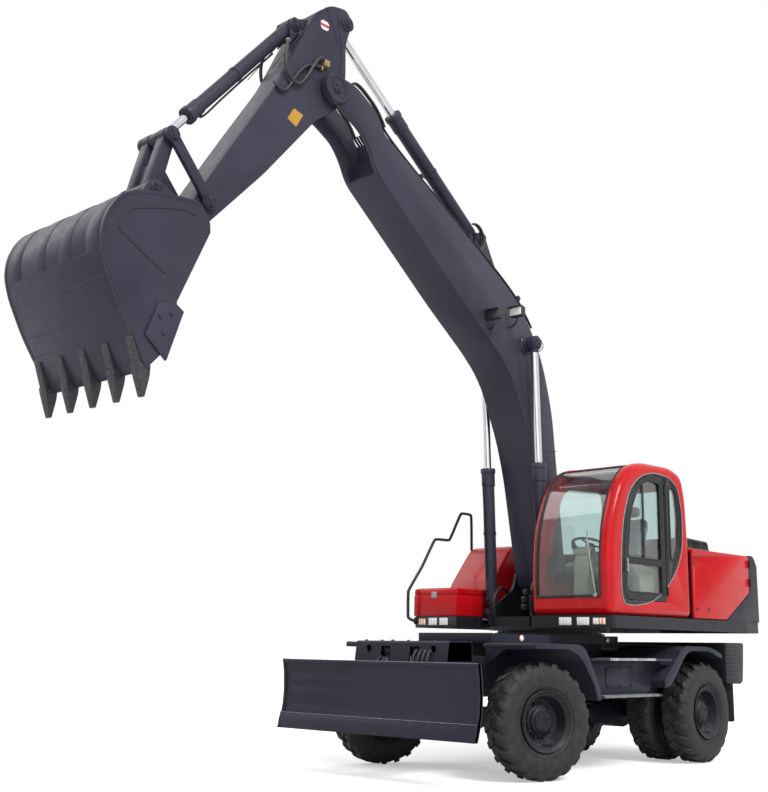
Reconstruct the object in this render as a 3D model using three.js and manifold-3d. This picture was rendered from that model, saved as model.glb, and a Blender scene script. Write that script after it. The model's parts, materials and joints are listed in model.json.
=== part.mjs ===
// Wheeled excavator with a dozer blade, in millimetres.
// +X is forward, +Y is the machine's left, +Z is up, and the ground is at z = 0.
// Plans and side views are drawn from the swing centre.
// The last lines put the origin under the machine's middle and stand it on its tyres.
import * as THREE from 'three';
import { mergeVertices } from 'three/addons/utils/BufferGeometryUtils.js';
import Module from 'manifold-3d';

const wasm = await Module();
wasm.setup();

// ---------------------------------------------------------------- driving dimensions

const gap = 0.3;                    // between pieces that touch
const runningGap = 6;               // between pieces that move past each other
const pinGap = 0.35;                // round a pin in its bore

const wheel = { radius: 543, width: 328, bead: 262, flange: 286, hub: 150, dualSpacing: 437, sides: 20 };
const trackFace = 1211;             // outer face of the outer tyre from the centre plane
const axle = { frontX: 1628, rearX: -1305, height: 543, beam: 95, kingpinY: 935 };
const steerAngle = -16.5;           // the front wheels are parked turned to the right
const frame = { halfWidth: 430, rearX: -2180, frontX: 2300, bottom: 740, top: 1130, wall: 20 };
const turret = { rearX: -640, frontX: 1640, halfWidth: 480, bottom: 1262, top: 1352 };
const slewRing = { radius: 610, bore: 470, top: 1402 };
const fender = {
  outer: 1250, top: 1256, sheet: 46, frontX: 1940, cornerLength: 240, cornerY: 645,
  rearToe: [-320, 898], rearBrow: [-739, 1256], tailGap: 95.6,
};
const sideBox = { rearX: -330, frontX: 860, face: 1090, bottom: 760, top: 1098, tread: 24 };
const rearBox = { tyreGap: 29.1, rearX: -2236, halfWidth: 1187, bottom: 838, top: 1306, wall: 22 };
const nose = { rearX: 2080, frontX: 2435, footX: 2465, halfWidth: 600, bottom: 1068, top: 1266, sheet: 24 };
const blade = { halfWidth: 1268, top: 1074, bottom: 405, sheet: 30, pivot: [1950, 690], pin: 42, armY: 330, arm: 34 };
const bladeCylinder = {
  y: 190, pin: 24, base: [2370, 1160], eye: [2690, 740], barrel: 50, rod: 28, length: 440, rodLength: 365,
};

const upper = { halfWidth: 1271, frontX: 690, rearX: -2690, bottom: 1424, top: 1552, wall: 20 };
const screen = { sill: 1735, head: 3060, rightJamb: 90, leftJamb: 125 };
const door = { rearX: -400, thickness: 40, gap: 6 };
const knuckle = { radius: 12, length: 90 };      // the round part of a hinge on a door's edge
const hood = { frontX: -960, rearX: -2285, top: 2332, sheet: 34 };
const toolbox = { frontX: 850, top: 1860, wall: 30, lid: 70 };
const engine = { length: 1050, width: 660, height: 640, x: -1720, y: 120 };

// the working arm is carried to the right of the cab, in its own plane
const armPlane = -180;
const boom = {
  foot: [-100, 1980], tip: [3532, 6622], cylinderPin: [455, 4600], armCylinderPin: [1090, 5740],
  halfWidth: 240, plate: 18, pin: 45, tipBoss: 155, footBoss: 132, fork: 186,
};
const stick = {
  cylinderPin: [3330, 7440], bucketCylinderPin: [3972, 7191], linkPin: [5005, 5010], bucketPin: [5190, 4740],
  halfWidth: 170, plate: 15,
};
const linkage = { top: [5428, 5505], ear: [5570, 4965], plate: 46, pin: 38 };
const bucket = { pin: 44, halfWidth: 725, plate: 26, earGap: 8, ear: 42, teeth: 5 };
const boomCylinder = {
  fromBoom: 120, base: [335, 1590], pin: 38, eye: 48, lug: 18, barrel: 68, rod: 42, length: 1640, rodLength: 1560,
};
const boomCylinderY = boom.halfWidth + boomCylinder.fromBoom;

const lugEdge = boomCylinderY + boomCylinder.eye + runningGap + boomCylinder.lug;

// the cab stands beside the left boom cylinder, and the fuel tank beside the right one's lug
const cab = {
  right: armPlane + boomCylinderY + boomCylinder.barrel + 17,
  left: 1265, frontX: 700, rearX: -930, roof: 3205, wall: 55, edge: 70,
};
const tank = { inner: lugEdge - armPlane + 28, rearX: -930, frontX: 285, top: 2400, slopeTopX: -180, slopeZ: 1870 };
const stickCylinder = { pin: 42, barrel: 76, rod: 46, length: 1733, rodLength: 1720 };
const bucketCylinder = { pin: 38, barrel: 66, rod: 40, length: 1800, rodLength: 1270 };

// ---------------------------------------------------------------- solids

/** Reads a closed geometry as a solid, whichever way its faces were wound. */
function solid(geometry) {
  geometry.deleteAttribute('normal');
  geometry.deleteAttribute('uv');
  const merged = mergeVertices(geometry, 1e-3);
  const vertices = new Float32Array(merged.attributes.position.array);
  const corners = [];
  let volume = 0;
  for (let i = 0; i < merged.index.count; i += 3) {
    const [a, b, c] = [0, 1, 2].map((k) => merged.index.getX(i + k));
    if (a === b || b === c || a === c) continue;
    corners.push([a, b, c]);
    const [p, q, r] = [a, b, c].map((k) => new THREE.Vector3().fromArray(vertices, 3 * k));
    volume += p.dot(q.cross(r));
  }
  const faces = volume < 0 ? corners.map(([a, b, c]) => [a, c, b]) : corners;
  const triVerts = new Uint32Array(faces.flat());
  return new wasm.Manifold(new wasm.Mesh({ numProp: 3, vertProperties: vertices, triVerts }));
}

const join = (...pieces) => pieces.reduce((whole, piece) => whole.add(piece));
const cut = (body, ...tools) => tools.reduce((whole, tool) => whole.subtract(tool), body);

/** A closed outline from corners [x, y, radius]; a corner without a radius stays sharp. */
function outline(corners) {
  const shape = new THREE.Shape();
  corners.forEach(([x, y, radius = 0], i) => {
    const corner = new THREE.Vector2(x, y);
    const before = new THREE.Vector2(...corners.at(i - 1).slice(0, 2)).sub(corner);
    const after = new THREE.Vector2(...corners[(i + 1) % corners.length].slice(0, 2)).sub(corner);
    const reach = Math.min(radius, 0.49 * before.length(), 0.49 * after.length());
    const start = corner.clone().add(before.setLength(reach));
    const end = corner.clone().add(after.setLength(reach));
    if (i === 0) shape.moveTo(start.x, start.y);
    else shape.lineTo(start.x, start.y);
    if (reach > 0) shape.quadraticCurveTo(x, y, end.x, end.y);
  });
  shape.closePath();
  return shape;
}

/** The same outline moved inwards by a wall's thickness. */
function inset(corners, thickness) {
  const area = corners.reduce((sum, [x, y], i) => sum + corners.at(i - 1)[0] * y - x * corners.at(i - 1)[1], 0);
  const wall = area > 0 ? -thickness : thickness;
  return corners.map(([x, y, radius = 0], i) => {
    const before = new THREE.Vector2(...corners.at(i - 1).slice(0, 2));
    const here = new THREE.Vector2(x, y);
    const after = new THREE.Vector2(...corners[(i + 1) % corners.length].slice(0, 2));
    const into = here.clone().sub(before).normalize();
    const out = after.clone().sub(here).normalize();
    const inward = new THREE.Vector2(into.y + out.y, -into.x - out.x).normalize();
    const share = wall / Math.max(0.3, inward.dot(new THREE.Vector2(into.y, -into.x)));
    return [x + inward.x * share, y + inward.y * share, Math.max(0, radius - thickness)];
  });
}

/** A side view [x, z] given thickness across the machine, from one y to another. */
function plate(corners, fromY, toY, steps = 2) {
  const options = { depth: toY - fromY, bevelEnabled: false, curveSegments: steps };
  const geometry = new THREE.ExtrudeGeometry(outline(corners), options);
  return solid(geometry.rotateX(Math.PI / 2).translate(0, toY, 0));
}

/** A plan [x, y] given height from one z to another. */
function slab(corners, fromZ, toZ, steps = 2) {
  const options = { depth: toZ - fromZ, bevelEnabled: false, curveSegments: steps };
  return solid(new THREE.ExtrudeGeometry(outline(corners), options).translate(0, 0, fromZ));
}

/** A front view [y, z] given length along the machine. */
function beam(corners, fromX, toX, steps = 2) {
  const options = { depth: toX - fromX, bevelEnabled: false, curveSegments: steps };
  const geometry = new THREE.ExtrudeGeometry(outline(corners), options);
  const turn = new THREE.Matrix4().set(0, 0, 1, fromX, 1, 0, 0, 0, 0, 1, 0, 0, 0, 0, 0, 1);
  return solid(geometry.applyMatrix4(turn));
}

function block(fromX, toX, fromY, toY, fromZ, toZ) {
  const geometry = new THREE.BoxGeometry(toX - fromX, toY - fromY, toZ - fromZ);
  return solid(geometry.translate((fromX + toX) / 2, (fromY + toY) / 2, (fromZ + toZ) / 2));
}

/** A round bar across the machine, centred on a point of a side view. */
function crossBar([x, z], radius, fromY, toY, sides = 14) {
  const geometry = new THREE.CylinderGeometry(radius, radius, toY - fromY, sides);
  return solid(geometry.translate(x, (fromY + toY) / 2, z));
}

const pinSides = 20;

/** The hole in which a pin of this radius turns freely. */
function pinBore([x, z], pinRadius, fromY, toY) {
  const radius = (pinRadius + pinGap) / Math.cos(Math.PI / pinSides);
  const geometry = new THREE.CylinderGeometry(radius, radius, toY - fromY, pinSides).rotateY(Math.PI / pinSides);
  return solid(geometry.translate(x, (fromY + toY) / 2, z));
}

function pinBar(at, radius, fromY, toY) {
  return crossBar(at, radius, fromY, toY, pinSides);
}

function upright([x, y], radius, fromZ, toZ, sides = 16) {
  const geometry = new THREE.CylinderGeometry(radius, radius, toZ - fromZ, sides).rotateX(Math.PI / 2);
  return solid(geometry.translate(x, y, (fromZ + toZ) / 2));
}

/** A round bar along the machine. */
function longBar([y, z], radius, fromX, toX, sides = 12) {
  const geometry = new THREE.CylinderGeometry(radius, radius, toX - fromX, sides).rotateZ(Math.PI / 2);
  return solid(geometry.translate((fromX + toX) / 2, y, z));
}

/** A profile [radius, y] spun about a line across the machine, with a flat underneath. */
function spun(profile, [x, y, z], sides) {
  const points = profile.map(([radius, along]) => new THREE.Vector2(radius, along));
  return solid(new THREE.LatheGeometry(points, sides).rotateY(Math.PI / sides).translate(x, y, z));
}

/** A pipe of one radius through a list of points, with square ends. */
function pipe(points, radius, bend, steps, sides = 8) {
  const route = new THREE.CurvePath();
  const at = points.map((point) => new THREE.Vector3(...point));
  let from = at[0];
  for (let i = 1; i < at.length - 1; i += 1) {
    const reach = Math.min(bend, 0.45 * at[i].distanceTo(at[i - 1]), 0.45 * at[i].distanceTo(at[i + 1]));
    const start = at[i].clone().add(at[i - 1].clone().sub(at[i]).setLength(reach));
    const end = at[i].clone().add(at[i + 1].clone().sub(at[i]).setLength(reach));
    route.add(new THREE.LineCurve3(from, start));
    route.add(new THREE.QuadraticBezierCurve3(start, at[i], end));
    from = end;
  }
  route.add(new THREE.LineCurve3(from, at.at(-1)));
  const section = new THREE.Shape();
  for (let i = 0; i < sides; i += 1) {
    const angle = (2 * Math.PI * i) / sides;
    const [x, y] = [radius * Math.cos(angle), radius * Math.sin(angle)];
    if (i === 0) section.moveTo(x, y);
    else section.lineTo(x, y);
  }
  section.closePath();
  return solid(new THREE.ExtrudeGeometry(section, { steps, extrudePath: route, bevelEnabled: false }));
}

// ---------------------------------------------------------------- the scene graph

const machine = new THREE.Group();

function paint(color, roughness, metalness) {
  return () => new THREE.MeshStandardMaterial({ color, roughness, metalness });
}

const finish = {
  red: paint(0xb4121c, 0.35, 0.1),
  slate: paint(0x55566a, 0.5, 0.2),
  dark: paint(0x2b2e3a, 0.6, 0.2),
  black: paint(0x17181c, 0.6, 0.1),
  chrome: paint(0xd8dade, 0.15, 1),
  rubber: paint(0x1b1b1d, 0.9, 0),
  rim: paint(0x333845, 0.5, 0.3),
  glass: paint(0x9fb4b8, 0.1, 0),
  seat: paint(0x3b3f47, 0.9, 0),
  beige: paint(0xb9ad8c, 0.7, 0),
};

/** Hangs a solid in the scene as one named mesh. */
function add(name, body, coat) {
  const { numProp, vertProperties, triVerts } = body.getMesh();
  const geometry = new THREE.BufferGeometry();
  const positions = new Float32Array((vertProperties.length / numProp) * 3);
  for (let i = 0; i < positions.length / 3; i += 1) {
    positions.set(vertProperties.subarray(i * numProp, i * numProp + 3), 3 * i);
  }
  geometry.setAttribute('position', new THREE.BufferAttribute(positions, 3));
  geometry.setIndex(new THREE.BufferAttribute(new Uint32Array(triVerts), 1));
  geometry.computeVertexNormals();
  const mesh = new THREE.Mesh(geometry, coat());
  mesh.name = name;
  machine.add(mesh);
}

const sides = [['left', 1], ['right', -1]];
const across = (side, near, far) => (side > 0 ? [near, far] : [-far, -near]);

// ---------------------------------------------------------------- undercarriage

const outerWheelY = trackFace - wheel.width / 2;
const innerWheelY = outerWheelY - wheel.dualSpacing;
const rimDisc = 12;                 // half the thickness of a rim's middle
const yokeInner = 96;               // half the opening of a steering yoke

/** Plates at the same distance on both sides of a plane. */
function pair(corners, near, far, plane = 0) {
  return join(plate(corners, plane + near, plane + far), plate(corners, plane - far, plane - near));
}

function chassisFrame() {
  const { halfWidth, rearX, frontX, bottom, top, wall } = frame;
  const [pivotX, pivotZ] = blade.pivot;
  const side = [
    [rearX, bottom + 130, 60], [rearX, top, 20], [frontX, top, 20], [frontX, bottom + 40, 60],
    [frontX - 120, bottom, 40], [-1500, bottom, 60], [-1700, bottom + 130, 60],
  ];
  const inside = plate(inset(side, wall), wall - halfWidth, halfWidth - wall);
  const shell = cut(plate(side, -halfWidth, halfWidth), inside);
  const { rearX: deckRear, frontX: deckFront, halfWidth: deckHalf } = turret;
  const neckHalf = halfWidth - 40;
  const neck = block(deckRear + 200, deckFront - 380, -neckHalf, neckHalf, top - 1, turret.bottom + 1);
  const deck = block(deckRear, deckFront, -deckHalf, deckHalf, turret.bottom, turret.top);
  const well = upright([0, 0], slewRing.bore - 90, bottom + 60, turret.top + 1);
  const lug = [
    [pivotX - 95, bottom + 1], [pivotX - 60, pivotZ - 60, 50], [pivotX + 60, pivotZ - 60, 50],
    [pivotX + 150, bottom + 1],
  ];
  const near = blade.armY - blade.arm - runningGap;
  const far = blade.armY + blade.arm + runningGap;
  const lugs = join(pair(lug, near - 40, near), pair(lug, far, far + 40));
  const slot = [
    [pivotX - 110, bottom - 5], [pivotX - 110, pivotZ + 130], [frontX + 5, pivotZ + 260], [frontX + 5, bottom - 5],
  ];
  const armSlots = pair(slot, near, far);
  const pins = join(...sides.map(([, way]) => {
    const [from, to] = across(way, near - 10, far + 10);
    return pinBar(blade.pivot, blade.pin, from, to);
  }));
  return join(cut(join(shell, neck, deck), well, armSlots), lugs, pins);
}

/** The housing in front of the frame, over the blade cylinders. */
function noseGuard() {
  const { rearX, frontX, footX, halfWidth, bottom, top, sheet } = nose;
  const side = [[rearX, bottom], [rearX, top, 20], [frontX, top, 20], [footX, bottom]];
  const under = [
    [rearX + sheet, bottom - 20], [rearX + sheet, top - sheet], [frontX - sheet, top - sheet],
    [footX - sheet + 3, bottom - 20],
  ];
  const shell = cut(plate(side, -halfWidth, halfWidth), plate(under, sheet - halfWidth, halfWidth - sheet));
  const { y, base, barrel } = bladeCylinder;
  const eyes = [-423, 423].map((at) => longBar([at, 1190], 36, frontX - 60, footX + 20));
  const notchHalf = barrel + 12;
  const notches = [-y, y].map((at) => (
    block(frontX - 60, footX + 20, at - notchHalf, at + notchHalf, bottom - 5, base[1] + 55)
  ));
  const seatX = frame.frontX + gap;
  const seatY = frame.halfWidth + gap;
  const seat = block(rearX - 10, seatX, -seatY, seatY, bottom - 30, frame.top + gap);
  const ear = [[seatX + 1, 1090], [seatX + 1, top - 5], [base[0] + 50, top - 5], [base[0] + 50, 1110, 40]];
  const ears = [-y, y].map((at) => pair(ear, 32, 50, at));
  const pins = [-y, y].map((at) => pinBar(base, bladeCylinder.pin, at - 40, at + 40));
  return join(cut(shell, seat, ...eyes, ...notches), ...ears, ...pins);
}

function slewBearing() {
  const { radius, bore, top } = slewRing;
  const bottom = turret.top + gap;
  const profile = [
    [bore, bottom], [radius, bottom], [radius, top - 26], [radius - 40, top - 26], [radius - 40, top], [bore, top],
    [bore, bottom],
  ];
  const points = profile.map(([r, z]) => new THREE.Vector2(r, z));
  return solid(new THREE.LatheGeometry(points, 24).rotateX(Math.PI / 2));
}

function frontAxle() {
  const { frontX, beam: half, kingpinY } = axle;
  const reach = kingpinY - 66;
  const z = axle.height;
  const housing = [
    [-reach, z - 64], [-reach, z + 64], [-300, z + half, 60], [-190, z + 165, 80], [190, z + 165, 80],
    [300, z + half, 60], [reach, z + 64], [reach, z - 64], [300, z - half, 60], [190, z - 165, 80],
    [-190, z - 165, 80], [-300, z - half, 60],
  ];
  const hanger = block(frontX - 130, frontX + 130, -150, 150, z + 100, frame.bottom - gap);
  const yoke = [[-72, -62], [-72, 62], [0, 62, 40], [50, 40, 30], [50, -40, 30], [0, -62, 40]];
  const yokes = sides.flatMap(([, side]) => [[-128, -yokeInner], [yokeInner, 128]].map(([low, high]) => {
    const corners = yoke.map(([y, x, radius = 0]) => [frontX + x, side * (kingpinY + y), radius]);
    return slab(corners, z + low, z + high);
  }));
  const cheeks = sides.map(([, side]) => {
    const [from, to] = across(side, reach - 30, reach);
    return block(frontX - 62, frontX + 62, from, to, z - 128, z + 128);
  });
  return join(beam(housing, frontX - 78, frontX + 78), hanger, ...cheeks, ...yokes);
}

function rearAxle() {
  const { rearX, beam: half } = axle;
  const z = axle.height;
  const reach = innerWheelY - rimDisc - gap;
  const tube = crossBar([rearX, z], half, -reach, reach);
  const centreCase = [
    [rearX - 190, z - 120, 60], [rearX - 190, z + 130, 60], [rearX + 120, z + 150, 60], [rearX + 420, z + 60, 60],
    [rearX + 440, z - 150, 60], [rearX + 130, z - 212, 60],
  ];
  const pads = sides.map(([, side]) => {
    const [from, to] = across(side, 250, 400);
    return block(rearX - 110, rearX + 110, from, to, z + 30, frame.bottom - gap);
  });
  return join(tube, plate(centreCase, -180, 180), ...pads);
}

function driveLine() {
  const rear = axle.rearX + 440 + gap;
  const front = axle.frontX - 78 - gap;
  const boots = [rear, front - 120].map((x) => longBar([0, axle.height], 78, x, x + 120));
  return join(longBar([0, axle.height], 46, rear, front), ...boots);
}

function frontFender(side) {
  const { outer, top, sheet, frontX, cornerLength, cornerY } = fender;
  const shell = [
    [frontX, top - sheet], [frontX, top, 20], [1140, top - 6, 60], [905, 845, 40], [889, 722], [940, 722], [994, 862, 60],
    [1200, 1140, 80], [1408, top - sheet, 80],
  ];
  const [from, to] = across(side, frame.halfWidth + gap, outer);
  const corner = block(frontX - cornerLength, frontX + 10, ...across(side, 400, cornerY), 1000, 1300);
  return cut(plate(shell, from, to), corner);
}

function rearFender(side) {
  const { outer, top, sheet, rearToe, rearBrow, tailGap } = fender;
  const tail = (degrees, clearance) => {
    const angle = THREE.MathUtils.degToRad(degrees);
    const reach = wheel.radius + clearance;
    return [axle.rearX - reach * Math.cos(angle), axle.height + reach * Math.sin(angle)];
  };
  const shell = [
    [-337, 823], [...rearToe, 20], [...rearBrow, 50], [-1340, top - 8, 60], tail(67, tailGap + 44), tail(64.1, tailGap + 14),
    [...tail(75, tailGap), 40], [-1300, top - sheet, 80], [-820, top - sheet, 80], [-450, 850, 30],
  ];
  const [from, to] = across(side, frame.halfWidth + gap, outer);
  return plate(shell, from, to);
}

function sideSteps(side) {
  const { rearX, frontX, face, bottom, top, tread } = sideBox;
  const inner = frame.halfWidth + gap;
  const [toe, brow] = [fender.rearToe, fender.rearBrow];
  const lean = (brow[0] - toe[0]) / (brow[1] - toe[1]);
  const body = [
    [rearX + 90, bottom], [toe[0] + 16, bottom + 60], [toe[0] + 16, toe[1]], [toe[0] + 16 + lean * (top - toe[1]), top],
    [frontX + 20, top], [frontX, bottom],
  ];
  const upperTread = [
    [rearX - 158, top - 1], [rearX - 158, top + tread], [frontX + 175, top + tread], [frontX + 175, top - 1],
  ];
  const lowerTread = [
    [rearX + 60, bottom - tread], [rearX + 60, bottom + 1], [frontX + 16, bottom + 1], [frontX + 16, bottom - tread],
  ];
  const hollow = block(rearX + 90, frontX - 30, ...across(side, inner - 20, face - 24), bottom + 24, top - 24);
  const treads = [upperTread, lowerTread].map((tray) => plate(tray, ...across(side, inner + 40, fender.outer)));
  return join(cut(plate(body, ...across(side, inner, face)), hollow), ...treads);
}

/** The box behind the rear wheels, whose lower front edge clears the tyre. */
function rearStowage() {
  const { tyreGap, rearX, halfWidth, bottom, top, wall } = rearBox;
  const frontX = axle.rearX - Math.sqrt(wheel.radius ** 2 - (bottom - axle.height) ** 2) - tyreGap;
  const side = [
    [rearX + 100, bottom, 20], [rearX + 46, bottom + 30, 20], [rearX, top, 20], [frontX, top, 10],
    [frontX, bottom + 8, 20],
  ];
  const space = frame.halfWidth + gap;
  const pocket = ([, way]) => plate(inset(side, wall), ...across(way, space - 30, halfWidth - wall));
  const saddle = block(rearX - 10, frontX + 60, -space, space, bottom - 20, frame.top + gap);
  return cut(plate(side, -halfWidth, halfWidth), ...sides.map(pocket), saddle);
}

// ---------------------------------------------------------------- wheels

function tyre(y, x = axle.rearX) {
  const { radius, width, bead, sides: facets } = wheel;
  const half = width / 2;
  const tread = radius / Math.cos(Math.PI / facets);
  const flank = [[bead, half - 52], [radius - 148, half], [radius - 38, half - 22], [tread, half - 62]];
  const opposite = flank.map(([r, along]) => [r, -along]).reverse();
  const inside = [[bead, -half + 92], [radius - 52, -half + 92], [radius - 52, half - 92], [bead, half - 92]];
  return spun([...flank, ...opposite, ...inside, flank[0]], [x, y, axle.height], facets);
}

/** The outer lip, seat and inner lip of a rim, from its open side to its back. */
function rimSeat(centre, inner) {
  const { width, bead, flange } = wheel;
  const half = width / 2;
  const seat = bead - gap;
  return [
    [inner, centre + half - 30], [flange, centre + half - 12], [seat, centre + half - 46],
    [seat, centre - half + 46], [flange, centre - half + 12], [inner, centre - half + 30],
  ];
}

const hubDome = [[0, 104], [105, 98], [wheel.hub, 24]];

function frontRim(side, [x, y]) {
  const inner = wheel.bead - 22;
  const profile = [...hubDome, [inner - 2, rimDisc], ...rimSeat(0, inner), [inner - 2, -rimDisc], [0, -rimDisc]];
  return spun(profile.map(([r, along]) => [r, side * along]), [x, y, axle.height], wheel.sides);
}

/** Both rims of a twin wheel, joined by the spacer between them. */
function rearRims(side) {
  const inner = wheel.bead - 22;
  const apart = wheel.dualSpacing;
  const profile = [
    ...hubDome, [inner - 2, rimDisc], ...rimSeat(0, inner), [inner, -apart / 2], ...rimSeat(-apart, inner),
    [inner - 2, -apart - rimDisc], [0, -apart - rimDisc],
  ];
  return spun(profile.map(([r, along]) => [r, side * along]), [axle.rearX, side * outerWheelY, axle.height], wheel.sides);
}

/** The steered hub carrier, drawn straight ahead and turned to the parked angle about its kingpin. */
function steeringKnuckle(side) {
  const { frontX, kingpinY } = axle;
  const offset = outerWheelY - kingpinY;
  const post = upright([0, 0], 58, gap - yokeInner, yokeInner - gap);
  const [from, to] = across(side, 0, offset - rimDisc - gap);
  const spindle = crossBar([0, 0], 70, from, to);
  const arm = block(-190, 0, ...across(side, 20, 60), -86, -54);
  return join(post, spindle, arm).rotate([0, 0, steerAngle]).translate([frontX, side * kingpinY, axle.height]);
}

/** Where a steered wheel's centre lies once its kingpin is turned. */
function steeredCentre(side) {
  const offset = outerWheelY - axle.kingpinY;
  const turn = THREE.MathUtils.degToRad(steerAngle);
  return [axle.frontX - side * offset * Math.sin(turn), side * (axle.kingpinY + offset * Math.cos(turn))];
}

function steered(body, side) {
  const [x, y] = steeredCentre(side);
  return body.rotate([0, 0, steerAngle]).translate([x, y, 0]);
}

// ---------------------------------------------------------------- hydraulic cylinders

/** A barrel from its base eye at the origin, pointing along +X, with a bore for its rod. */
function barrelAlongX({ barrel, rod, length }, eyeHalf, pinRadius) {
  const bore = rod + 1.5;
  const foot = pinRadius + 16;
  const neck = Math.min(eyeHalf, barrel) - 4;
  const profile = [
    [0, foot], [neck, foot], [neck, foot + 44], [barrel, foot + 52], [barrel, length - 90], [barrel + 12, length - 84],
    [barrel + 12, length - 6], [bore, length], [bore, foot + 70], [0, foot + 70],
  ];
  const points = profile.map(([r, along]) => new THREE.Vector2(r, along));
  const tube = solid(new THREE.LatheGeometry(points, 14).rotateZ(-Math.PI / 2));
  const eye = crossBar([0, 0], pinRadius + 34, -eyeHalf, eyeHalf);
  const hole = pinBore([0, 0], pinRadius, -eyeHalf - 1, eyeHalf + 1);
  return cut(join(tube, eye), hole);
}

/** A rod from its far eye at the origin, pointing back along -X into its barrel. */
function rodAlongX({ rod, rodLength }, eyeHalf, eyeRadius) {
  const bar = longBar([0, 0], rod, -rodLength, -eyeRadius + 12);
  return join(bar, crossBar([0, 0], eyeRadius, -eyeHalf, eyeHalf));
}

/** Puts a piece drawn along +X at one point of a side view, aimed at another. */
function aimed(body, [x, z], from, to, y) {
  const angle = Math.atan2(to[1] - from[1], to[0] - from[0]);
  return body.rotate([0, -THREE.MathUtils.radToDeg(angle), 0]).translate([x, y, z]);
}

function cylinderBarrel(size, base, eye, y, eyeHalf, pinRadius) {
  return aimed(barrelAlongX(size, eyeHalf, pinRadius), base, base, eye, y);
}

function cylinderRod(size, base, eye, y, eyeHalf, eyeRadius) {
  return aimed(rodAlongX(size, eyeHalf, eyeRadius), eye, base, eye, y);
}

// ---------------------------------------------------------------- dozer blade

function dozerBlade() {
  const { halfWidth, top, bottom, sheet, pivot, pin, armY, arm } = blade;
  const face = [
    [2817, top], [2796, 930], [2790, 780], [2803, 620], [2835, 500], [2868, bottom],
    [2868 - sheet, bottom], [2835 - sheet - 4, 500], [2803 - sheet - 2, 620], [2790 - sheet, 780],
    [2796 - sheet, 930], [2817 - sheet, top],
  ];
  const spine = [[2700, 860, 20], [2768, 860], [2764, 640], [2700, 600, 20]];
  const push = [
    [pivot[0] - 20, pivot[1] + 62, 30], [2400, 760, 60], [2770, 850], [2785, 600], [2400, 560, 80],
    [pivot[0] - 20, pivot[1] - 62, 30],
  ];
  const eyes = sides.map(([, side]) => crossBar(pivot, 70, ...across(side, armY - arm, armY + arm)));
  const holes = sides.map(([, side]) => pinBore(pivot, pin, ...across(side, armY - 90, armY + 90)));
  const { y, eye } = bladeCylinder;
  const ear = [[eye[0] - 42, eye[1] + 42, 30], [2768, 860], [2764, 640], [eye[0] - 42, eye[1] - 42, 30]];
  const ears = [-y, y].map((at) => pair(ear, 30 + runningGap, 56, at));
  const slots = [-y, y].map((at) => block(2600, 2762, at - 30 - runningGap, at + 30 + runningGap, 560, 900));
  const arms = pair(push, armY - arm, armY + arm);
  const beamAcross = plate(spine, -armY - 200, armY + 200);
  const carrier = cut(join(arms, beamAcross, ...eyes), ...holes, ...slots);
  return join(plate(face, -halfWidth, halfWidth), carrier, ...ears);
}

// ---------------------------------------------------------------- upper structure

const inPlane = (offset) => armPlane + offset;
const fork = boom.halfWidth + runningGap;      // inner face of the brackets that hold the boom's foot

function upperFrame() {
  const { halfWidth, frontX, rearX, bottom, top, wall } = upper;
  const plan = [
    [rearX, -halfWidth + 60, 150], [rearX, halfWidth - 60, 150], [rearX + 500, halfWidth], [frontX, halfWidth, 60],
    [frontX, cab.right, 20], [460, cab.right, 20], [460, -tank.inner, 20], [toolbox.frontX, -tank.inner, 20],
    [toolbox.frontX, -halfWidth, 60], [rearX + 500, -halfWidth],
  ];
  const rim = cut(slab(plan, bottom, top), slab(inset(plan, wall), bottom - 5, top - 16));
  const bedPlate = upright([0, 0], slewRing.radius + 60, slewRing.top + gap, bottom + 20, 24);
  const keel = [[-2200, bottom], [-2200, top - 2], [500, top - 2], [500, bottom + 40], [300, bottom]];
  const keels = pair(keel, fork, fork + 34, armPlane);
  const [footX, footZ] = boom.foot;
  const [baseX, baseZ] = boomCylinder.base;
  const horn = [
    [-620, top - 20], [footX - 150, footZ - 30, 60], [footX - 110, footZ + 120, 80], [footX + 100, footZ + 120, 80],
    [footX + 190, footZ - 120, 60], [baseX + 75, baseZ + 90, 40], [baseX + 75, top - 20],
  ];
  const horns = pair(horn, fork, fork + 34, armPlane);
  const lugFace = lugEdge - boomCylinder.lug;
  const lugRadius = 68;
  const lugs = sides.flatMap(([, way]) => {
    const [from, to] = across(way, lugFace, lugEdge).map(inPlane);
    return [
      crossBar(boomCylinder.base, lugRadius, from, to),
      block(baseX - lugRadius, baseX + lugRadius, from, to, top - 20, baseZ),
    ];
  });
  const wells = sides.map(([, way]) => {
    const [from, to] = across(way, fork + 30, lugFace).map(inPlane);
    return block(baseX - 95, baseX + 140, from, to, bottom + 20, top + 5);
  });
  const { frontX: bayX, sheet, top: bayTop } = hood;
  const wallFrom = inPlane(fork + 34);
  const bulkhead = block(bayX - 40, bayX - 8, wallFrom, halfWidth - sheet - 4, top - 4, bayTop - sheet - gap);
  const footPin = pinBar(boom.foot, boom.pin, inPlane(-fork - 30), inPlane(fork + 30));
  const basePins = sides.map(([, side]) => {
    const [from, to] = across(side, fork + 20, lugEdge - 4);
    return pinBar(boomCylinder.base, boomCylinder.pin, inPlane(from), inPlane(to));
  });
  return join(cut(rim, ...wells), bedPlate, keels, horns, bulkhead, ...lugs, footPin, ...basePins);
}

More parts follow.
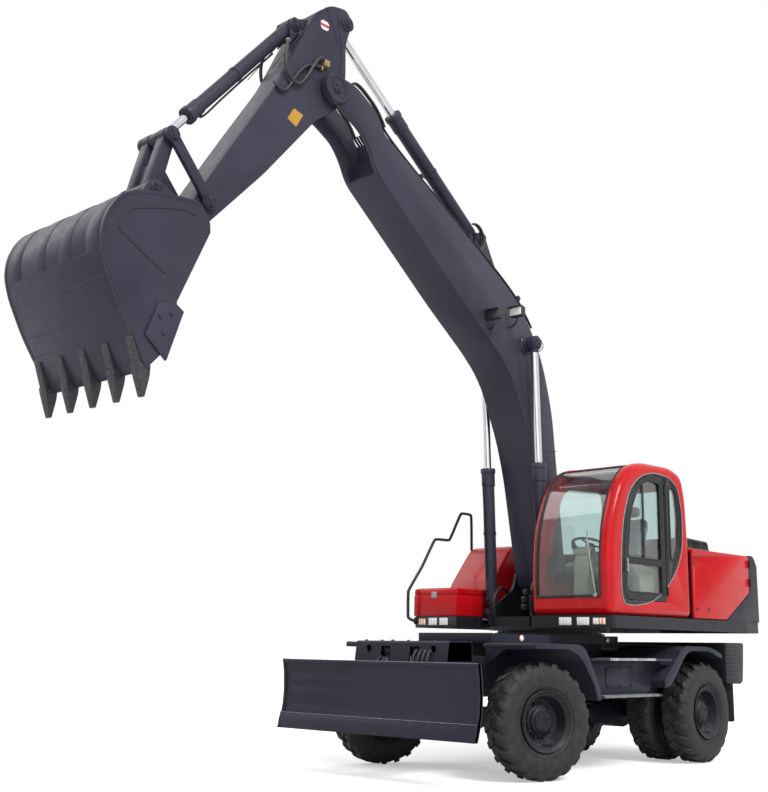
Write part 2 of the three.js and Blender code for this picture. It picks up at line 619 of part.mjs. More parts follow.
function counterweight() {
  const { halfWidth, bottom, top } = upper;
  const side = [
    [-1712, top + gap], [-2292, 1884, 40], [-2316, hood.top], [-2430, hood.top, 60], [-2660, 2000, 200],
    [-2800, 1700, 200], [-2790, bottom + 10, 40], [-2700, bottom], [-2690, top + gap],
  ];
  const plan = [
    [-1700, -halfWidth], [-2600, -halfWidth, 160], [-2800, -560, 300], [-2800, 560, 300], [-2600, halfWidth, 160],
    [-1700, halfWidth],
  ];
  const body = plate(side, -halfWidth, halfWidth).intersect(slab(plan, bottom - 10, hood.top + 10, 4));
  const bay = block(hood.rearX - 5, -1600, -halfWidth + 90, halfWidth - 90, top - 10, hood.top + 20);
  return cut(body, bay);
}

function engineBlock() {
  const { length, width, height, x, y } = engine;
  const bottom = upper.top + gap;
  return block(x - length / 2, x + length / 2, y - width / 2, y + width / 2, bottom, bottom + height);
}

/** Hinge knuckles beside a door's rear edge, with leaves that hold them to its outer face. */
function hinges(side, edgeX, faceY, heights) {
  const { radius, length } = knuckle;
  return heights.flatMap((z) => {
    const axisY = side * (faceY + radius + gap);
    const [from, to] = across(side, faceY - 1, faceY + radius);
    const [gapFrom, gapTo] = across(side, faceY + gap, faceY + 2 * radius - 4);
    return [
      upright([edgeX, axisY], radius, z - length / 2, z + length / 2, 10),
      block(edgeX + radius / 2, edgeX + 70, gapFrom, gapTo, z - length / 2, z + length / 2),
      block(edgeX + 28, edgeX + 70, from, to, z - length / 2, z + length / 2),
    ];
  });
}

/** The side door of the engine bay, cut along the slanted front of the counterweight. */
function serviceDoor(side) {
  const { frontX, rearX, top, sheet } = hood;
  const corners = [
    [frontX, upper.top + door.gap], [frontX, top, 30], [rearX - 20, top - 4, 10], [rearX, 1884, 30],
    [-1712, upper.top + door.gap],
  ];
  const panel = plate(inset(corners, 3), ...across(side, upper.halfWidth - sheet, upper.halfWidth));
  return join(panel, ...hinges(side, rearX - 24, upper.halfWidth, [2010, 2230]));
}

function engineHood() {
  const { frontX, rearX, top, sheet } = hood;
  const edge = upper.halfWidth - sheet - door.gap;
  const rightEdge = tank.inner - door.gap;
  const plan = [
    [frontX + 4, -rightEdge], [frontX + 4, edge], [rearX, edge], [rearX, -edge], [tank.rearX - 40, -edge],
    [tank.rearX - 40, -rightEdge],
  ];
  const lid = slab(plan, top - sheet, top);
  const vent = [[-1950, top - 1], [-1900, top + 150, 30], [-1330, top + 170, 30], [-1290, top - 1]];
  return join(lid, plate(vent, 330, 960));
}

function fuelTank() {
  const { inner, rearX, frontX, top, slopeTopX, slopeZ } = tank;
  const side = [
    [rearX, upper.top + gap], [rearX, top, 40], [slopeTopX, top, 60], [frontX - 90, slopeZ + 90, 60],
    [frontX, slopeZ - 60, 60], [frontX, upper.top + gap],
  ];
  return plate(side, -upper.halfWidth + 4, -inner);
}

const toolboxRear = tank.frontX + door.gap;
const toolboxSeam = toolbox.top - toolbox.lid;

function toolboxProfile(low, high) {
  const { frontX, top } = toolbox;
  const nose = frontX - 14 * (high - upper.top) / (top - upper.top);
  return [[toolboxRear, low], [toolboxRear, high], [nose, high, high === top ? 50 : 0], [frontX, low]];
}

/** The tool box ahead of the fuel tank, open on top. */
function toolboxTub() {
  const { frontX, wall } = toolbox;
  const [from, to] = [-upper.halfWidth, -tank.inner];
  const tub = plate(toolboxProfile(upper.top + gap, toolboxSeam - 3), from, to);
  const [rear, front] = [toolboxRear + wall, frontX - wall - 14];
  return cut(tub, block(rear, front, from + wall, to - wall, upper.top + wall, toolboxSeam + 5));
}

function toolboxLid() {
  const { frontX, top, wall } = toolbox;
  const [from, to] = [-upper.halfWidth, -tank.inner];
  const lid = plate(toolboxProfile(toolboxSeam - 3 + gap, top), from, to);
  const [rear, front] = [toolboxRear + wall, frontX - wall - 14];
  return cut(lid, block(rear, front, from + wall, to - wall, toolboxSeam - 9, top - wall));
}

function handrail() {
  const side = upper.halfWidth;
  const radius = 17;
  const y = -side - radius - 12;
  const front = toolbox.frontX;
  const points = [
    [front + gap, -side + 46, 1500], [front + 66, -side + 46, 1500], [front + 66, y, 1560], [front + 66, y, 1815],
    [680, y, 2120], [455, y, 2462], [195, y, 2462], [-30, y, 2810], [-225, y, 2806], [-225, y, 2335],
    [-225, -side + 4 - gap, 2335],
  ];
  return pipe(points, radius, 60, 26);
}

// ---------------------------------------------------------------- cab

const cabFloor = upper.top + 2 * gap + cab.wall;
const consoleY = cab.right + 80;
const consoleWidth = 145;
const operatorY = consoleY + consoleWidth + 280;      // middle of the seat and of the steering wheel

const cabSide = [
  [cab.frontX - 8, upper.top + gap], [cab.frontX, 2080, 300], [640, 2520, 200], [470, 2900, 160], [240, 3120, 120],
  [0, 3190, 120], [-600, cab.roof, 200], [-830, 3130, 120], [-905, 2860, 120], [cab.rearX, 2350, 100],
  [cab.rearX, upper.top + gap],
];
const doorOutline = [
  [door.rearX, 1712], [door.rearX, 3062, 20], [-119, 3076, 60], [127, 2985, 160], [345, 2677, 200], [436, 2191, 200],
  [450, 1790, 60], [380, 1712, 60],
];
const quarterOutline = [
  [-505, 2180, 30], [-505, 2990, 30], [-665, 2960, 80], [-715, 2640, 120], [-680, 2300, 100], [-590, 2165, 60],
];

/** The side view of the cab with its upright and roof edges rounded off. */
function cabShell() {
  const { right, left, wall, edge, frontX, rearX, roof } = cab;
  const plan = [[rearX, right, edge], [rearX, left, edge], [frontX, left, 2 * edge], [frontX, right, 2 * edge]];
  const front = [[right, upper.top - 5], [right, roof, edge], [left, roof, edge], [left, upper.top - 5]];
  const rounded = slab(plan, upper.top - 5, roof + 5).intersect(beam(front, rearX - 5, frontX + 5));
  const outside = plate(cabSide, right - 5, left + 5).intersect(rounded);
  const inside = plate(inset(cabSide, wall), right + wall, left - wall);
  const { sill, head, rightJamb, leftJamb } = screen;
  const screenHole = block(frontX - 460, frontX + 50, right + rightJamb, left - leftJamb, sill, head);
  const rightWindow = plate([
    [330, 2120, 60], [250, 2620, 80], [60, 2940, 80], [-700, 2990, 80], [-740, 2120, 60],
  ], right - 10, right + wall + 10);
  const rearWindow = block(cab.rearX - 10, cab.rearX + 180, right + 160, left - 160, 2400, 2960);
  const doorway = plate(doorOutline, left - wall - 10, left + 10);
  const quarter = plate(quarterOutline, left - wall - 10, left + 10);
  return cut(outside, inside, screenHole, rightWindow, rearWindow, doorway, quarter);
}

function cabDoor() {
  const edge = inset(doorOutline, door.gap);
  const upperWindow = [
    [-300, 2270, 20], [-300, 2965, 20], [90, 2945, 60], [270, 2735, 100], [350, 2275, 40],
  ];
  const lowerWindow = [[-290, 1880, 40], [-290, 2075, 20], [250, 2082, 40], [392, 1965, 60], [400, 1800, 60]];
  const { left } = cab;
  const panel = plate(edge, left - door.thickness, left);
  const openings = [upperWindow, lowerWindow].map((window) => plate(window, left - 60, left + 10));
  return join(cut(panel, ...openings), ...hinges(1, door.rearX - 4, left, [1830, 2920]));
}

function windscreen() {
  const { wall, right, left, frontX } = cab;
  const { sill, head, rightJamb, leftJamb } = screen;
  const middle = inset(cabSide, wall / 2 - 4);
  const [from, to] = [right + rightJamb + gap, left - leftJamb - gap];
  const pane = cut(plate(middle, from, to), plate(inset(middle, 8), right, left));
  return pane.intersect(block(frontX - 440, frontX + 50, right, left, sill + gap, head - gap));
}

function operatorSeat() {
  const cushion = [[-420, 1905, 40], [-430, 2020, 40], [80, 2040, 60], [110, 1930, 40]];
  const back = [
    [-430, 2010, 30], [-560, 2560, 60], [-540, 2790, 70], [-440, 2800, 70], [-400, 2560, 60], [-290, 2020, 30],
  ];
  const base = block(-380, 20, operatorY - 130, operatorY + 130, cabFloor, 1910);
  return join(
    plate(cushion, operatorY - 250, operatorY + 250), plate(back, operatorY - 230, operatorY + 230), base,
  );
}

function controlConsoles() {
  const pod = [
    [-430, cabFloor], [-430, 2080, 40], [40, 2150, 80], [190, 2130, 60], [170, 2010, 60], [-40, 1960, 60], [-60, cabFloor],
  ];
  const foot = block(-400, -100, consoleY + 55, consoleY + 215, cabFloor, 1700);
  return join(plate(pod, consoleY, consoleY + consoleWidth), foot);
}

function steeringColumn() {
  const post = [[330, cabFloor], [320, 2060, 40], [260, 2200, 40], [400, 2240, 40], [480, 2140, 60], [470, cabFloor]];
  const ring = new THREE.TorusGeometry(190, 15, 6, 16);
  const wheelRing = solid(ring.rotateY(THREE.MathUtils.degToRad(-20)).translate(300, operatorY, 2296));
  const spoke = block(-12, 12, -188, 188, -8, 8).add(block(-180, 180, -12, 12, -8, 8));
  const hub = upright([0, 0], 44, -80, 16, 16);
  const centre = join(spoke, hub).rotate([0, -20, 0]).translate([300, operatorY, 2296]);
  return join(plate(post, operatorY - 80, operatorY + 80), wheelRing, centre);
}

// ---------------------------------------------------------------- boom, stick and bucket

function boomBody() {
  const { tip, foot, halfWidth, plate: thickness, tipBoss, footBoss, pin } = boom;
  const [footX, footZ] = foot;
  const outside = [
    [3640, 6690, 90], [3440, 6775, 60], [3230, 6745, 80], [2950, 6580, 60], [2830, 6380, 60], [1640, 5715, 200],
    [1210, 5470, 200], [560, 5080, 300], [150, 4520, 300], [-40, 3880, 200], [-112, 3250, 200], [-225, 2250, 200],
    [footX - 130, footZ - 20, 60], [footX - 90, footZ - 110, 60], [footX + 90, footZ - 110, 60],
    [footX + 145, footZ + 20, 60], [110, 2290, 200], [272, 3121, 200], [398, 3531, 200], [545, 3850, 200],
    [650, 4080, 200], [800, 4280, 200], [1010, 4465, 200], [1620, 4905, 200], [2920, 5930, 100], [3030, 6150, 120],
    [3150, 6300, 120], [3400, 6430, 80], [3600, 6500, 90],
  ];
  const cavity = inset(outside, thickness).filter(([x, z]) => x < 2940 && z > footZ + 150);
  const hollow = plate(cavity, inPlane(thickness - halfWidth), inPlane(halfWidth - thickness));
  const forkSlot = plate([
    [2860, 6000], [2800, 6300], [2800, 6900], [3900, 6900], [3900, 6200], [3000, 5800],
  ], inPlane(-boom.fork), inPlane(boom.fork));
  const tipCheeks = crossBar(tip, tipBoss, inPlane(-halfWidth - 34), inPlane(halfWidth + 34));
  const footBar = crossBar(foot, footBoss, inPlane(-halfWidth), inPlane(halfWidth));
  const footBore = pinBore(foot, pin, inPlane(-halfWidth - 1), inPlane(halfWidth + 1));
  const cheek = boomCylinderY - boomCylinder.eye - runningGap;
  const cylinderBar = crossBar(boom.cylinderPin, 88, inPlane(-cheek), inPlane(cheek));
  const [eyeX, eyeZ] = boom.armCylinderPin;
  const ear = [
    [eyeX - 330, eyeZ - 420], [eyeX - 70, eyeZ + 40, 70], [eyeX + 60, eyeZ + 70, 70], [eyeX + 100, eyeZ - 60, 70],
    [eyeX + 240, eyeZ - 300],
  ];
  const earFace = stickCylinder.barrel + runningGap;
  const ears = pair(ear, earFace, earFace + 26, armPlane);
  const earPin = pinBar(boom.armCylinderPin, stickCylinder.pin, inPlane(-earFace - 20), inPlane(earFace + 20));
  const body = cut(join(plate(outside, inPlane(-halfWidth), inPlane(halfWidth)), footBar, cylinderBar), hollow);
  const tipPin = pinBar(tip, pin, inPlane(-halfWidth - 20), inPlane(halfWidth + 20));
  return join(cut(join(body, tipCheeks), forkSlot, footBore), tipPin, ears, earPin);
}

function stickBody() {
  const { cylinderPin, bucketCylinderPin, linkPin, bucketPin, halfWidth, plate: thickness } = stick;
  const outside = [
    [3340, 7600, 60], [3255, 7480, 50], [3345, 7190, 60], [3335, 6870, 80], [3365, 6560, 120], [3470, 6430, 100],
    [3728, 6235, 60], [4365, 5478, 100], [4970, 4838, 40], [5070, 4700, 60], [5150, 4630, 60], [5260, 4650, 60],
    [5300, 4760, 60], [5230, 4870, 60], [5060, 5150, 60], [4693, 5735, 100], [4214, 6477, 100], [3985, 6950, 100],
    [3775, 7380, 100], [3560, 7550, 80],
  ];
  const side = plate(outside, inPlane(-halfWidth), inPlane(halfWidth));
  const hollow = plate(inset(outside, thickness + 3), inPlane(thickness - halfWidth), inPlane(halfWidth - thickness));
  const tipBoss = crossBar(boom.tip, 165, inPlane(-halfWidth), inPlane(halfWidth));
  const tipBore = pinBore(boom.tip, boom.pin, inPlane(-halfWidth - 1), inPlane(halfWidth + 1));
  const linkBoss = crossBar(linkPin, 78, inPlane(-halfWidth), inPlane(halfWidth));
  const linkBore = pinBore(linkPin, linkage.pin, inPlane(-halfWidth - 1), inPlane(halfWidth + 1));
  const bucketBoss = crossBar(bucketPin, 100, inPlane(-halfWidth), inPlane(halfWidth));
  const bucketBore = pinBore(bucketPin, bucket.pin, inPlane(-halfWidth - 1), inPlane(halfWidth + 1));
  const headSlot = plate([
    [3100, 7300], [3100, 7700], [3700, 7700], [3560, 7400], [3420, 7250],
  ], inPlane(-stickCylinder.barrel), inPlane(stickCylinder.barrel));
  const [earX, earZ] = bucketCylinderPin;
  const ear = [
    [earX - 190, earZ + 130], [earX - 20, earZ + 72, 60], [earX + 72, earZ + 10, 60], [earX + 60, earZ - 70, 60],
    [earX + 60, earZ - 230],
  ];
  const earFace = bucketCylinder.barrel + runningGap;
  const ears = pair(ear, earFace, earFace + 24, armPlane);
  const earPin = pinBar(bucketCylinderPin, bucketCylinder.pin, inPlane(-earFace - 20), inPlane(earFace + 20));
  const body = join(cut(join(side, tipBoss), hollow, headSlot), linkBoss, bucketBoss);
  return join(cut(body, tipBore, linkBore, bucketBore), ears, earPin);
}

function guideLinks() {
  const near = stick.halfWidth + runningGap;
  const far = near + linkage.plate;
  const [[gx, gz], [kx, kz]] = [stick.linkPin, linkage.top];
  const side = new THREE.Vector2(kx - gx, kz - gz).normalize();
  const off = new THREE.Vector2(-side.y, side.x).multiplyScalar(52);
  const bar = [
    [gx + off.x, gz + off.y], [kx + off.x, kz + off.y], [kx - off.x, kz - off.y], [gx - off.x, gz - off.y],
  ];
  const ends = [stick.linkPin, linkage.top].map((at) => join(
    crossBar(at, 74, inPlane(near), inPlane(far), 18), crossBar(at, 74, inPlane(-far), inPlane(-near)),
  ));
  const lowerPin = pinBar(stick.linkPin, linkage.pin, inPlane(-far), inPlane(far));
  const stubs = sides.map(([, way]) => {
    const [from, to] = across(way, 62, far);
    return pinBar(linkage.top, linkage.pin, inPlane(from), inPlane(to));
  });
  return join(pair(bar, near, far, armPlane), ...ends, lowerPin, ...stubs);
}

/** The H-shaped link between the rod's end and the bucket. */
function bucketLink() {
  const [[kx, kz], [ex, ez]] = [linkage.top, linkage.ear];
  const near = 62;
  const far = stick.halfWidth;
  const along = new THREE.Vector2(ex - kx, ez - kz).normalize();
  const off = new THREE.Vector2(-along.y, along.x).multiplyScalar(66);
  const bar = [
    [kx + off.x, kz + off.y], [ex + off.x, ez + off.y], [ex - off.x, ez - off.y], [kx - off.x, kz - off.y],
  ];
  const eyes = sides.map(([, way]) => {
    const [from, to] = across(way, near, far);
    return crossBar(linkage.top, 76, inPlane(from), inPlane(to));
  });
  const holes = pinBore(linkage.top, linkage.pin, inPlane(-far - 1), inPlane(far + 1));
  const foot = crossBar(linkage.ear, 78, inPlane(-far), inPlane(far));
  const [mx, mz] = [(kx + ex) / 2, (kz + ez) / 2];
  const web = [
    [mx + off.x / 2, mz + off.y / 2], [ex + off.x / 2, ez + off.y / 2],
    [ex - off.x / 2, ez - off.y / 2], [mx - off.x / 2, mz - off.y / 2],
  ];
  const bars = cut(join(pair(bar, near, far, armPlane), ...eyes), holes);
  return join(bars, foot, plate(web, inPlane(-far), inPlane(far)));
}

const bucketOutside = [
  [5380, 4600, 40], [5480, 4735, 80], [5880, 4705, 120], [6080, 4665, 160], [6230, 4590, 160], [6330, 4470, 160],
  [6385, 4330, 160], [6392, 4180, 160], [6340, 4000, 160], [6180, 3700, 100], [6060, 3520, 100], [5925, 3285],
];
const mouthSide = [[5880, 3300], [5785, 3402, 20], [5625, 3770, 30], [5675, 3829, 30], [5370, 4500, 20]];

function bucketBody() {
  const { halfWidth, plate: thickness, earGap, ear, teeth } = bucket;
  const whole = [...bucketOutside, ...mouthSide];
  const scoop = [
    ...inset(bucketOutside, thickness).slice(0, -1), [5890, 3268], [5700, 3200], [5200, 4300], [5340, 4560],
  ];
  const shell = cut(
    plate(whole, inPlane(-halfWidth), inPlane(halfWidth)),
    plate(scoop, inPlane(thickness - halfWidth), inPlane(halfWidth - thickness)),
  );
  const near = stick.halfWidth + earGap;
  const [[hx, hz], [ex, ez]] = [stick.bucketPin, linkage.ear];
  const lug = [
    [hx - 60, hz - 80, 60], [hx - 82, hz + 20, 60], [hx - 20, hz + 88, 60], [ex - 90, ez + 50, 60],
    [ex + 10, ez + 100, 60], [ex + 95, ez + 30, 60], [ex + 230, 4710], [5480, 4700], [5400, 4610],
  ];
  const lugs = pair(lug, near, near + ear, armPlane);
  const pin = pinBar(stick.bucketPin, bucket.pin, inPlane(-near - ear), inPlane(near + ear));
  const caps = sides.map(([, way]) => {
    const [from, to] = across(way, near, near + ear + 16);
    return crossBar(linkage.ear, 66, inPlane(from), inPlane(to));
  });
  const tooth = [
    [6010, 3430], [5985, 3260, 20], [5925, 3045], [5900, 3045], [5880, 3200, 20], [5880, 3330], [5900, 3420],
  ];
  const tips = Array.from({ length: teeth }, (_, i) => {
    const middle = inPlane((halfWidth - 62) * ((2 * i) / (teeth - 1) - 1));
    return plate(tooth, middle - 52, middle + 52, 1);
  });
  return join(shell, lugs, pin, ...caps, ...tips);
}

// ---------------------------------------------------------------- assembly

add('chassis_frame', chassisFrame(), finish.dark);
add('nose_guard', noseGuard(), finish.dark);
add('slew_bearing', slewBearing(), finish.black);
add('front_axle', frontAxle(), finish.dark);
add('rear_axle', rearAxle(), finish.dark);
add('drive_line', driveLine(), finish.dark);
add('rear_stowage_box', rearStowage(), finish.dark);
for (const [name, side] of sides) {
  add(`front_fender_${name}`, frontFender(side), finish.dark);
  add(`rear_fender_${name}`, rearFender(side), finish.dark);
  add(`side_steps_${name}`, sideSteps(side), finish.dark);
  add(`steering_knuckle_${name}`, steeringKnuckle(side), finish.dark);
  add(`front_tyre_${name}`, steered(tyre(0, 0), side), finish.rubber);
  add(`front_rim_${name}`, steered(frontRim(side, [0, 0]), side), finish.rim);
  add(`rear_outer_tyre_${name}`, tyre(side * outerWheelY), finish.rubber);
  add(`rear_inner_tyre_${name}`, tyre(side * innerWheelY), finish.rubber);
  add(`rear_rims_${name}`, rearRims(side), finish.rim);
}

/** A hydraulic cylinder as its barrel and its rod, between the pins at its base and its far eye. */
function addCylinder([kind, suffix], size, base, eye, y, barrelHalf, rodHalf, eyeRadius, coat) {
  const barrel = cylinderBarrel(size, base, eye, y, barrelHalf, size.pin);
  add(`${kind}_cylinder_barrel${suffix}`, barrel, coat);
  add(`${kind}_cylinder_rod${suffix}`, cylinderRod(size, base, eye, y, rodHalf, eyeRadius), finish.chrome);
}

add('dozer_blade', dozerBlade(), finish.dark);
for (const [name, side] of sides) {
  const { base, eye, y } = bladeCylinder;
  addCylinder(['blade', `_${name}`], bladeCylinder, base, eye, side * y, 26, 28, 40, finish.dark);
}

add('upper_frame', upperFrame(), finish.black);
add('counterweight', counterweight(), finish.dark);
add('engine_block', engineBlock(), finish.black);
add('engine_hood', engineHood(), finish.red);
add('service_door_left', serviceDoor(1), finish.red);
add('service_door_right', serviceDoor(-1), finish.red);
add('fuel_tank', fuelTank(), finish.red);
add('toolbox', toolboxTub(), finish.red);
add('toolbox_lid', toolboxLid(), finish.red);
add('handrail', handrail(), finish.black);
add('cab_shell', cabShell(), finish.red);
add('cab_door', cabDoor(), finish.black);
add('windscreen', windscreen(), finish.glass);
add('operator_seat', operatorSeat(), finish.seat);
add('control_console', controlConsoles(), finish.beige);
add('steering_column', steeringColumn(), finish.beige);

add('boom', boomBody(), finish.slate);
add('stick', stickBody(), finish.slate);
add('guide_links', guideLinks(), finish.slate);
add('bucket_link', bucketLink(), finish.slate);
add('bucket', bucketBody(), finish.slate);
for (const [name, side] of sides) {
  const { base, eye } = boomCylinder;
  const y = inPlane(side * boomCylinderY);
  addCylinder(['boom', `_${name}`], boomCylinder, base, boom.cylinderPin, y, eye, eye, 82, finish.slate);
}
const [stickBase, stickEye] = [boom.armCylinderPin, stick.cylinderPin];
addCylinder(['stick', ''], stickCylinder, stickBase, stickEye, armPlane, stickCylinder.barrel, 58, 78, finish.slate);
const [curlBase, curlEye] = [stick.bucketCylinderPin, linkage.top];
addCylinder(['bucket', ''], bucketCylinder, curlBase, curlEye, armPlane, bucketCylinder.barrel, 54, 72, finish.slate);

// the origin goes to the middle of the whole machine, on the ground
const swingCentreX = -1796;
const standing = wheel.radius - axle.height;
for (const mesh of machine.children) mesh.position.set(swingCentreX, 0, standing);

export default machine;
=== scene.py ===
"""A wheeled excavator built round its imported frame: enamel, glass, tyres, pipes and cab fittings."""

import json
import math
import random

import bpy
from mathutils import Matrix, Vector


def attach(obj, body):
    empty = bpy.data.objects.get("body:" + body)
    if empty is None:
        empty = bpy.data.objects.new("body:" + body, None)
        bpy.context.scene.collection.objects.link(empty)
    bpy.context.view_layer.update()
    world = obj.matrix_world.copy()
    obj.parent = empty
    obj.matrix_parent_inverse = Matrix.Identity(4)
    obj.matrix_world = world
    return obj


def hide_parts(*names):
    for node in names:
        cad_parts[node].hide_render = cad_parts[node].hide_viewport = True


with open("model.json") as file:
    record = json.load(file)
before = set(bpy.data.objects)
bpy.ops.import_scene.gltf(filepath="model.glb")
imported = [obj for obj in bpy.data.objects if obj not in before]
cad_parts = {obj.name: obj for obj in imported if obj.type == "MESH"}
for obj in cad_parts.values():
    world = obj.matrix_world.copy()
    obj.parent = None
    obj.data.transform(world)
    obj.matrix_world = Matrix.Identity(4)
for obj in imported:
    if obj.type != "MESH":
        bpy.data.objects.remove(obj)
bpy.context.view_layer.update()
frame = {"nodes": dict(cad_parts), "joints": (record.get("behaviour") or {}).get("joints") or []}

MM = 0.001
joints = {joint["name"]: joint for joint in frame["joints"]}
swing_x = joints["slew"]["pos_m"][0]
sides = (("left", 1), ("right", -1))
ARM = joints["boom_lift"]["pos_m"][1] / MM


def at(x, y, z):
    """A place in millimetres from the swing centre on the ground, in the frame's metres."""
    return Vector((swing_x + x * MM, y * MM, z * MM))


def beside(point, offset):
    """A place on the arm, from its side view and how far it stands from the arm's middle plane."""
    return at(point[0], ARM + offset, point[1])


def route(*places):
    """The places of a pipe's or hose's path, in millimetres, in the frame's metres."""
    return [at(*place) for place in places]


def pin(name):
    """Where a joint's axis crosses the side view, in millimetres from the swing centre."""
    x, _, z = joints[name]["pos_m"]
    return ((x - swing_x) / MM, z / MM)


def clear_selection():
    if bpy.context.object and bpy.context.object.mode != "OBJECT":
        bpy.ops.object.mode_set(mode="OBJECT")
    bpy.ops.object.select_all(action="DESELECT")


# ------------------------------------------------------------------ camera, floor and light


def set_camera():
    """Stands low in front of the machine's left corner and looks up at the arm."""
    clear_selection()
    bpy.ops.object.camera_add(location=at(11013.7, 7924.7, 1203.3))
    camera = bpy.context.object
    yaw, pitch, roll = math.radians(-136.3), math.radians(12.0), math.radians(0.8)
    ahead = Vector((math.cos(yaw) * math.cos(pitch), math.sin(yaw) * math.cos(pitch), math.sin(pitch)))
    side = Vector((math.sin(yaw), -math.cos(yaw), 0))
    over = side.cross(ahead)
    right = side * math.cos(roll) + over * math.sin(roll)
    up = over * math.cos(roll) - side * math.sin(roll)
    turn = Matrix((right, up, -ahead)).transposed().to_4x4()
    camera.matrix_world = Matrix.Translation(camera.location) @ turn
    camera.data.sensor_fit = "VERTICAL"
    camera.data.sensor_height = 36
    camera.data.lens = 53.68
    camera.data.clip_end = 200
    bpy.context.scene.camera = camera


def linear(colour):
    """An sRGB hex value as linear red, green, blue and full alpha."""
    values = [int(colour[i : i + 2], 16) / 255 for i in (1, 3, 5)]
    return [v / 12.92 if v <= 0.04045 else ((v + 0.055) / 1.055) ** 2.4 for v in values] + [1]


def node(tree, kind, inputs=None, **settings):
    """Adds a node with its settings; each input is given a value, or the output that feeds it."""
    made = tree.nodes.new(kind)
    for name, value in settings.items():
        setattr(made, name, value)
    for socket, value in (inputs or {}).items():
        if isinstance(value, bpy.types.NodeSocket):
            tree.links.new(value, made.inputs[socket])
        else:
            made.inputs[socket].default_value = value
    return made


def light_the_studio():
    """A white surround that the camera and gloss see, a soft sky for the rest, and three soft lamps."""
    world = bpy.context.scene.world or bpy.data.worlds.new("studio_surround")
    bpy.context.scene.world = world
    world.use_nodes = True
    tree = world.node_tree
    tree.nodes.clear()
    path = node(tree, "ShaderNodeLightPath")
    through = node(tree, "ShaderNodeMath", {0: path.outputs["Is Glossy Ray"],
            1: path.outputs["Is Transmission Ray"]}, operation="MAXIMUM")
    seen = node(tree, "ShaderNodeMath", {0: path.outputs["Is Camera Ray"], 1: through.outputs[0]},
            operation="MAXIMUM")
    up = node(tree, "ShaderNodeSeparateXYZ", {0: node(tree, "ShaderNodeTexCoord").outputs["Generated"]})
    sky = node(tree, "ShaderNodeMapRange", {0: up.outputs["Z"], 1: -0.2, 2: 0.8, 3: 0.22, 4: 0.75})
    strength = node(tree, "ShaderNodeMix", {0: seen.outputs[0], 2: sky.outputs[0], 3: 1.0})
    light = node(tree, "ShaderNodeBackground", {"Color": linear("#ffffff"),
            "Strength": strength.outputs[0]})
    node(tree, "ShaderNodeOutputWorld", {"Surface": light.outputs[0]})
    lamps = (("key_lamp", 46, 166, 2.6, 22), ("fill_lamp", 66, 128, 0.5, 60), ("back_lamp", 50, 20, 0.7,
            40))
    for name, tilt, heading, strength, width in lamps:
        clear_selection()
        bpy.ops.object.light_add(type="SUN", location=at(0, 0, 12000))
        lamp = bpy.context.object
        lamp.name = name
        lamp.rotation_euler = [math.radians(a) for a in (tilt, 0, heading)]
        lamp.data.energy = strength
        lamp.data.angle = math.radians(width)


def lay_the_floor():
    """A pale studio floor that stays near white and still shows the soft shadow under the wheels."""
    clear_selection()
    bpy.ops.mesh.primitive_plane_add(size=160, location=at(0, 0, -0.5))
    floor = bpy.context.object
    floor.name = "studio_floor"
    material = bpy.data.materials.new("white_studio_paper")
    material.use_nodes = True
    tree = material.node_tree
    shader = tree.nodes["Principled BSDF"]
    shader.inputs["Base Color"].default_value = linear("#e9e9e9")
    shader.inputs["Roughness"].default_value = 0.9
    shader.inputs["Specular IOR Level"].default_value = 0.1
    path = node(tree, "ShaderNodeLightPath")
    seen = node(tree, "ShaderNodeMath", {0: path.outputs["Is Camera Ray"],
            1: path.outputs["Is Transmission Ray"]}, operation="MAXIMUM")
    glow = node(tree, "ShaderNodeMath", {0: seen.outputs[0], 1: 0.42}, operation="MULTIPLY")
    shader.inputs["Emission Color"].default_value = linear("#ffffff")
    tree.links.new(glow.outputs[0], shader.inputs["Emission Strength"])
    floor.data.materials.append(material)


# ------------------------------------------------------------------ finishes


def new_finish(name):
    material = bpy.data.materials.new(name)
    material.use_nodes = True
    tree = material.node_tree
    return material, tree, tree.nodes["Principled BSDF"], node(tree, "ShaderNodeTexCoord").outputs["Object"]


def grain(tree, place, size_mm, detail=3, roughness=0.55):
    """Noise whose blotches are about as wide as the size given."""
    return node(tree, "ShaderNodeTexNoise", {"Vector": place, "Scale": 700 / size_mm, "Detail": detail,
            "Roughness": roughness}).outputs["Fac"]


def ranged(tree, value, from_low, from_high, to_low, to_high):
    return node(tree, "ShaderNodeMapRange", {0: value, 1: from_low, 2: from_high, 3: to_low,
            4: to_high}).outputs[0]


def mixed(tree, share, first, second):
    return node(tree, "ShaderNodeMix", {0: share, 6: first, 7: second}, data_type="RGBA").outputs[2]


def two_tone(tree, shader, share, first, second, rough):
    """Blends two colours, and the roughness between two values, by the same share."""
    tree.links.new(mixed(tree, share, linear(first), linear(second)), shader.inputs["Base Color"])
    tree.links.new(ranged(tree, share, 0, 1, *rough), shader.inputs["Roughness"])


def relief(tree, shader, height, depth_mm, strength=1.0):
    bump = node(tree, "ShaderNodeBump", {"Height": height, "Strength": strength, "Distance": depth_mm * MM})
    tree.links.new(bump.outputs["Normal"], shader.inputs["Normal"])


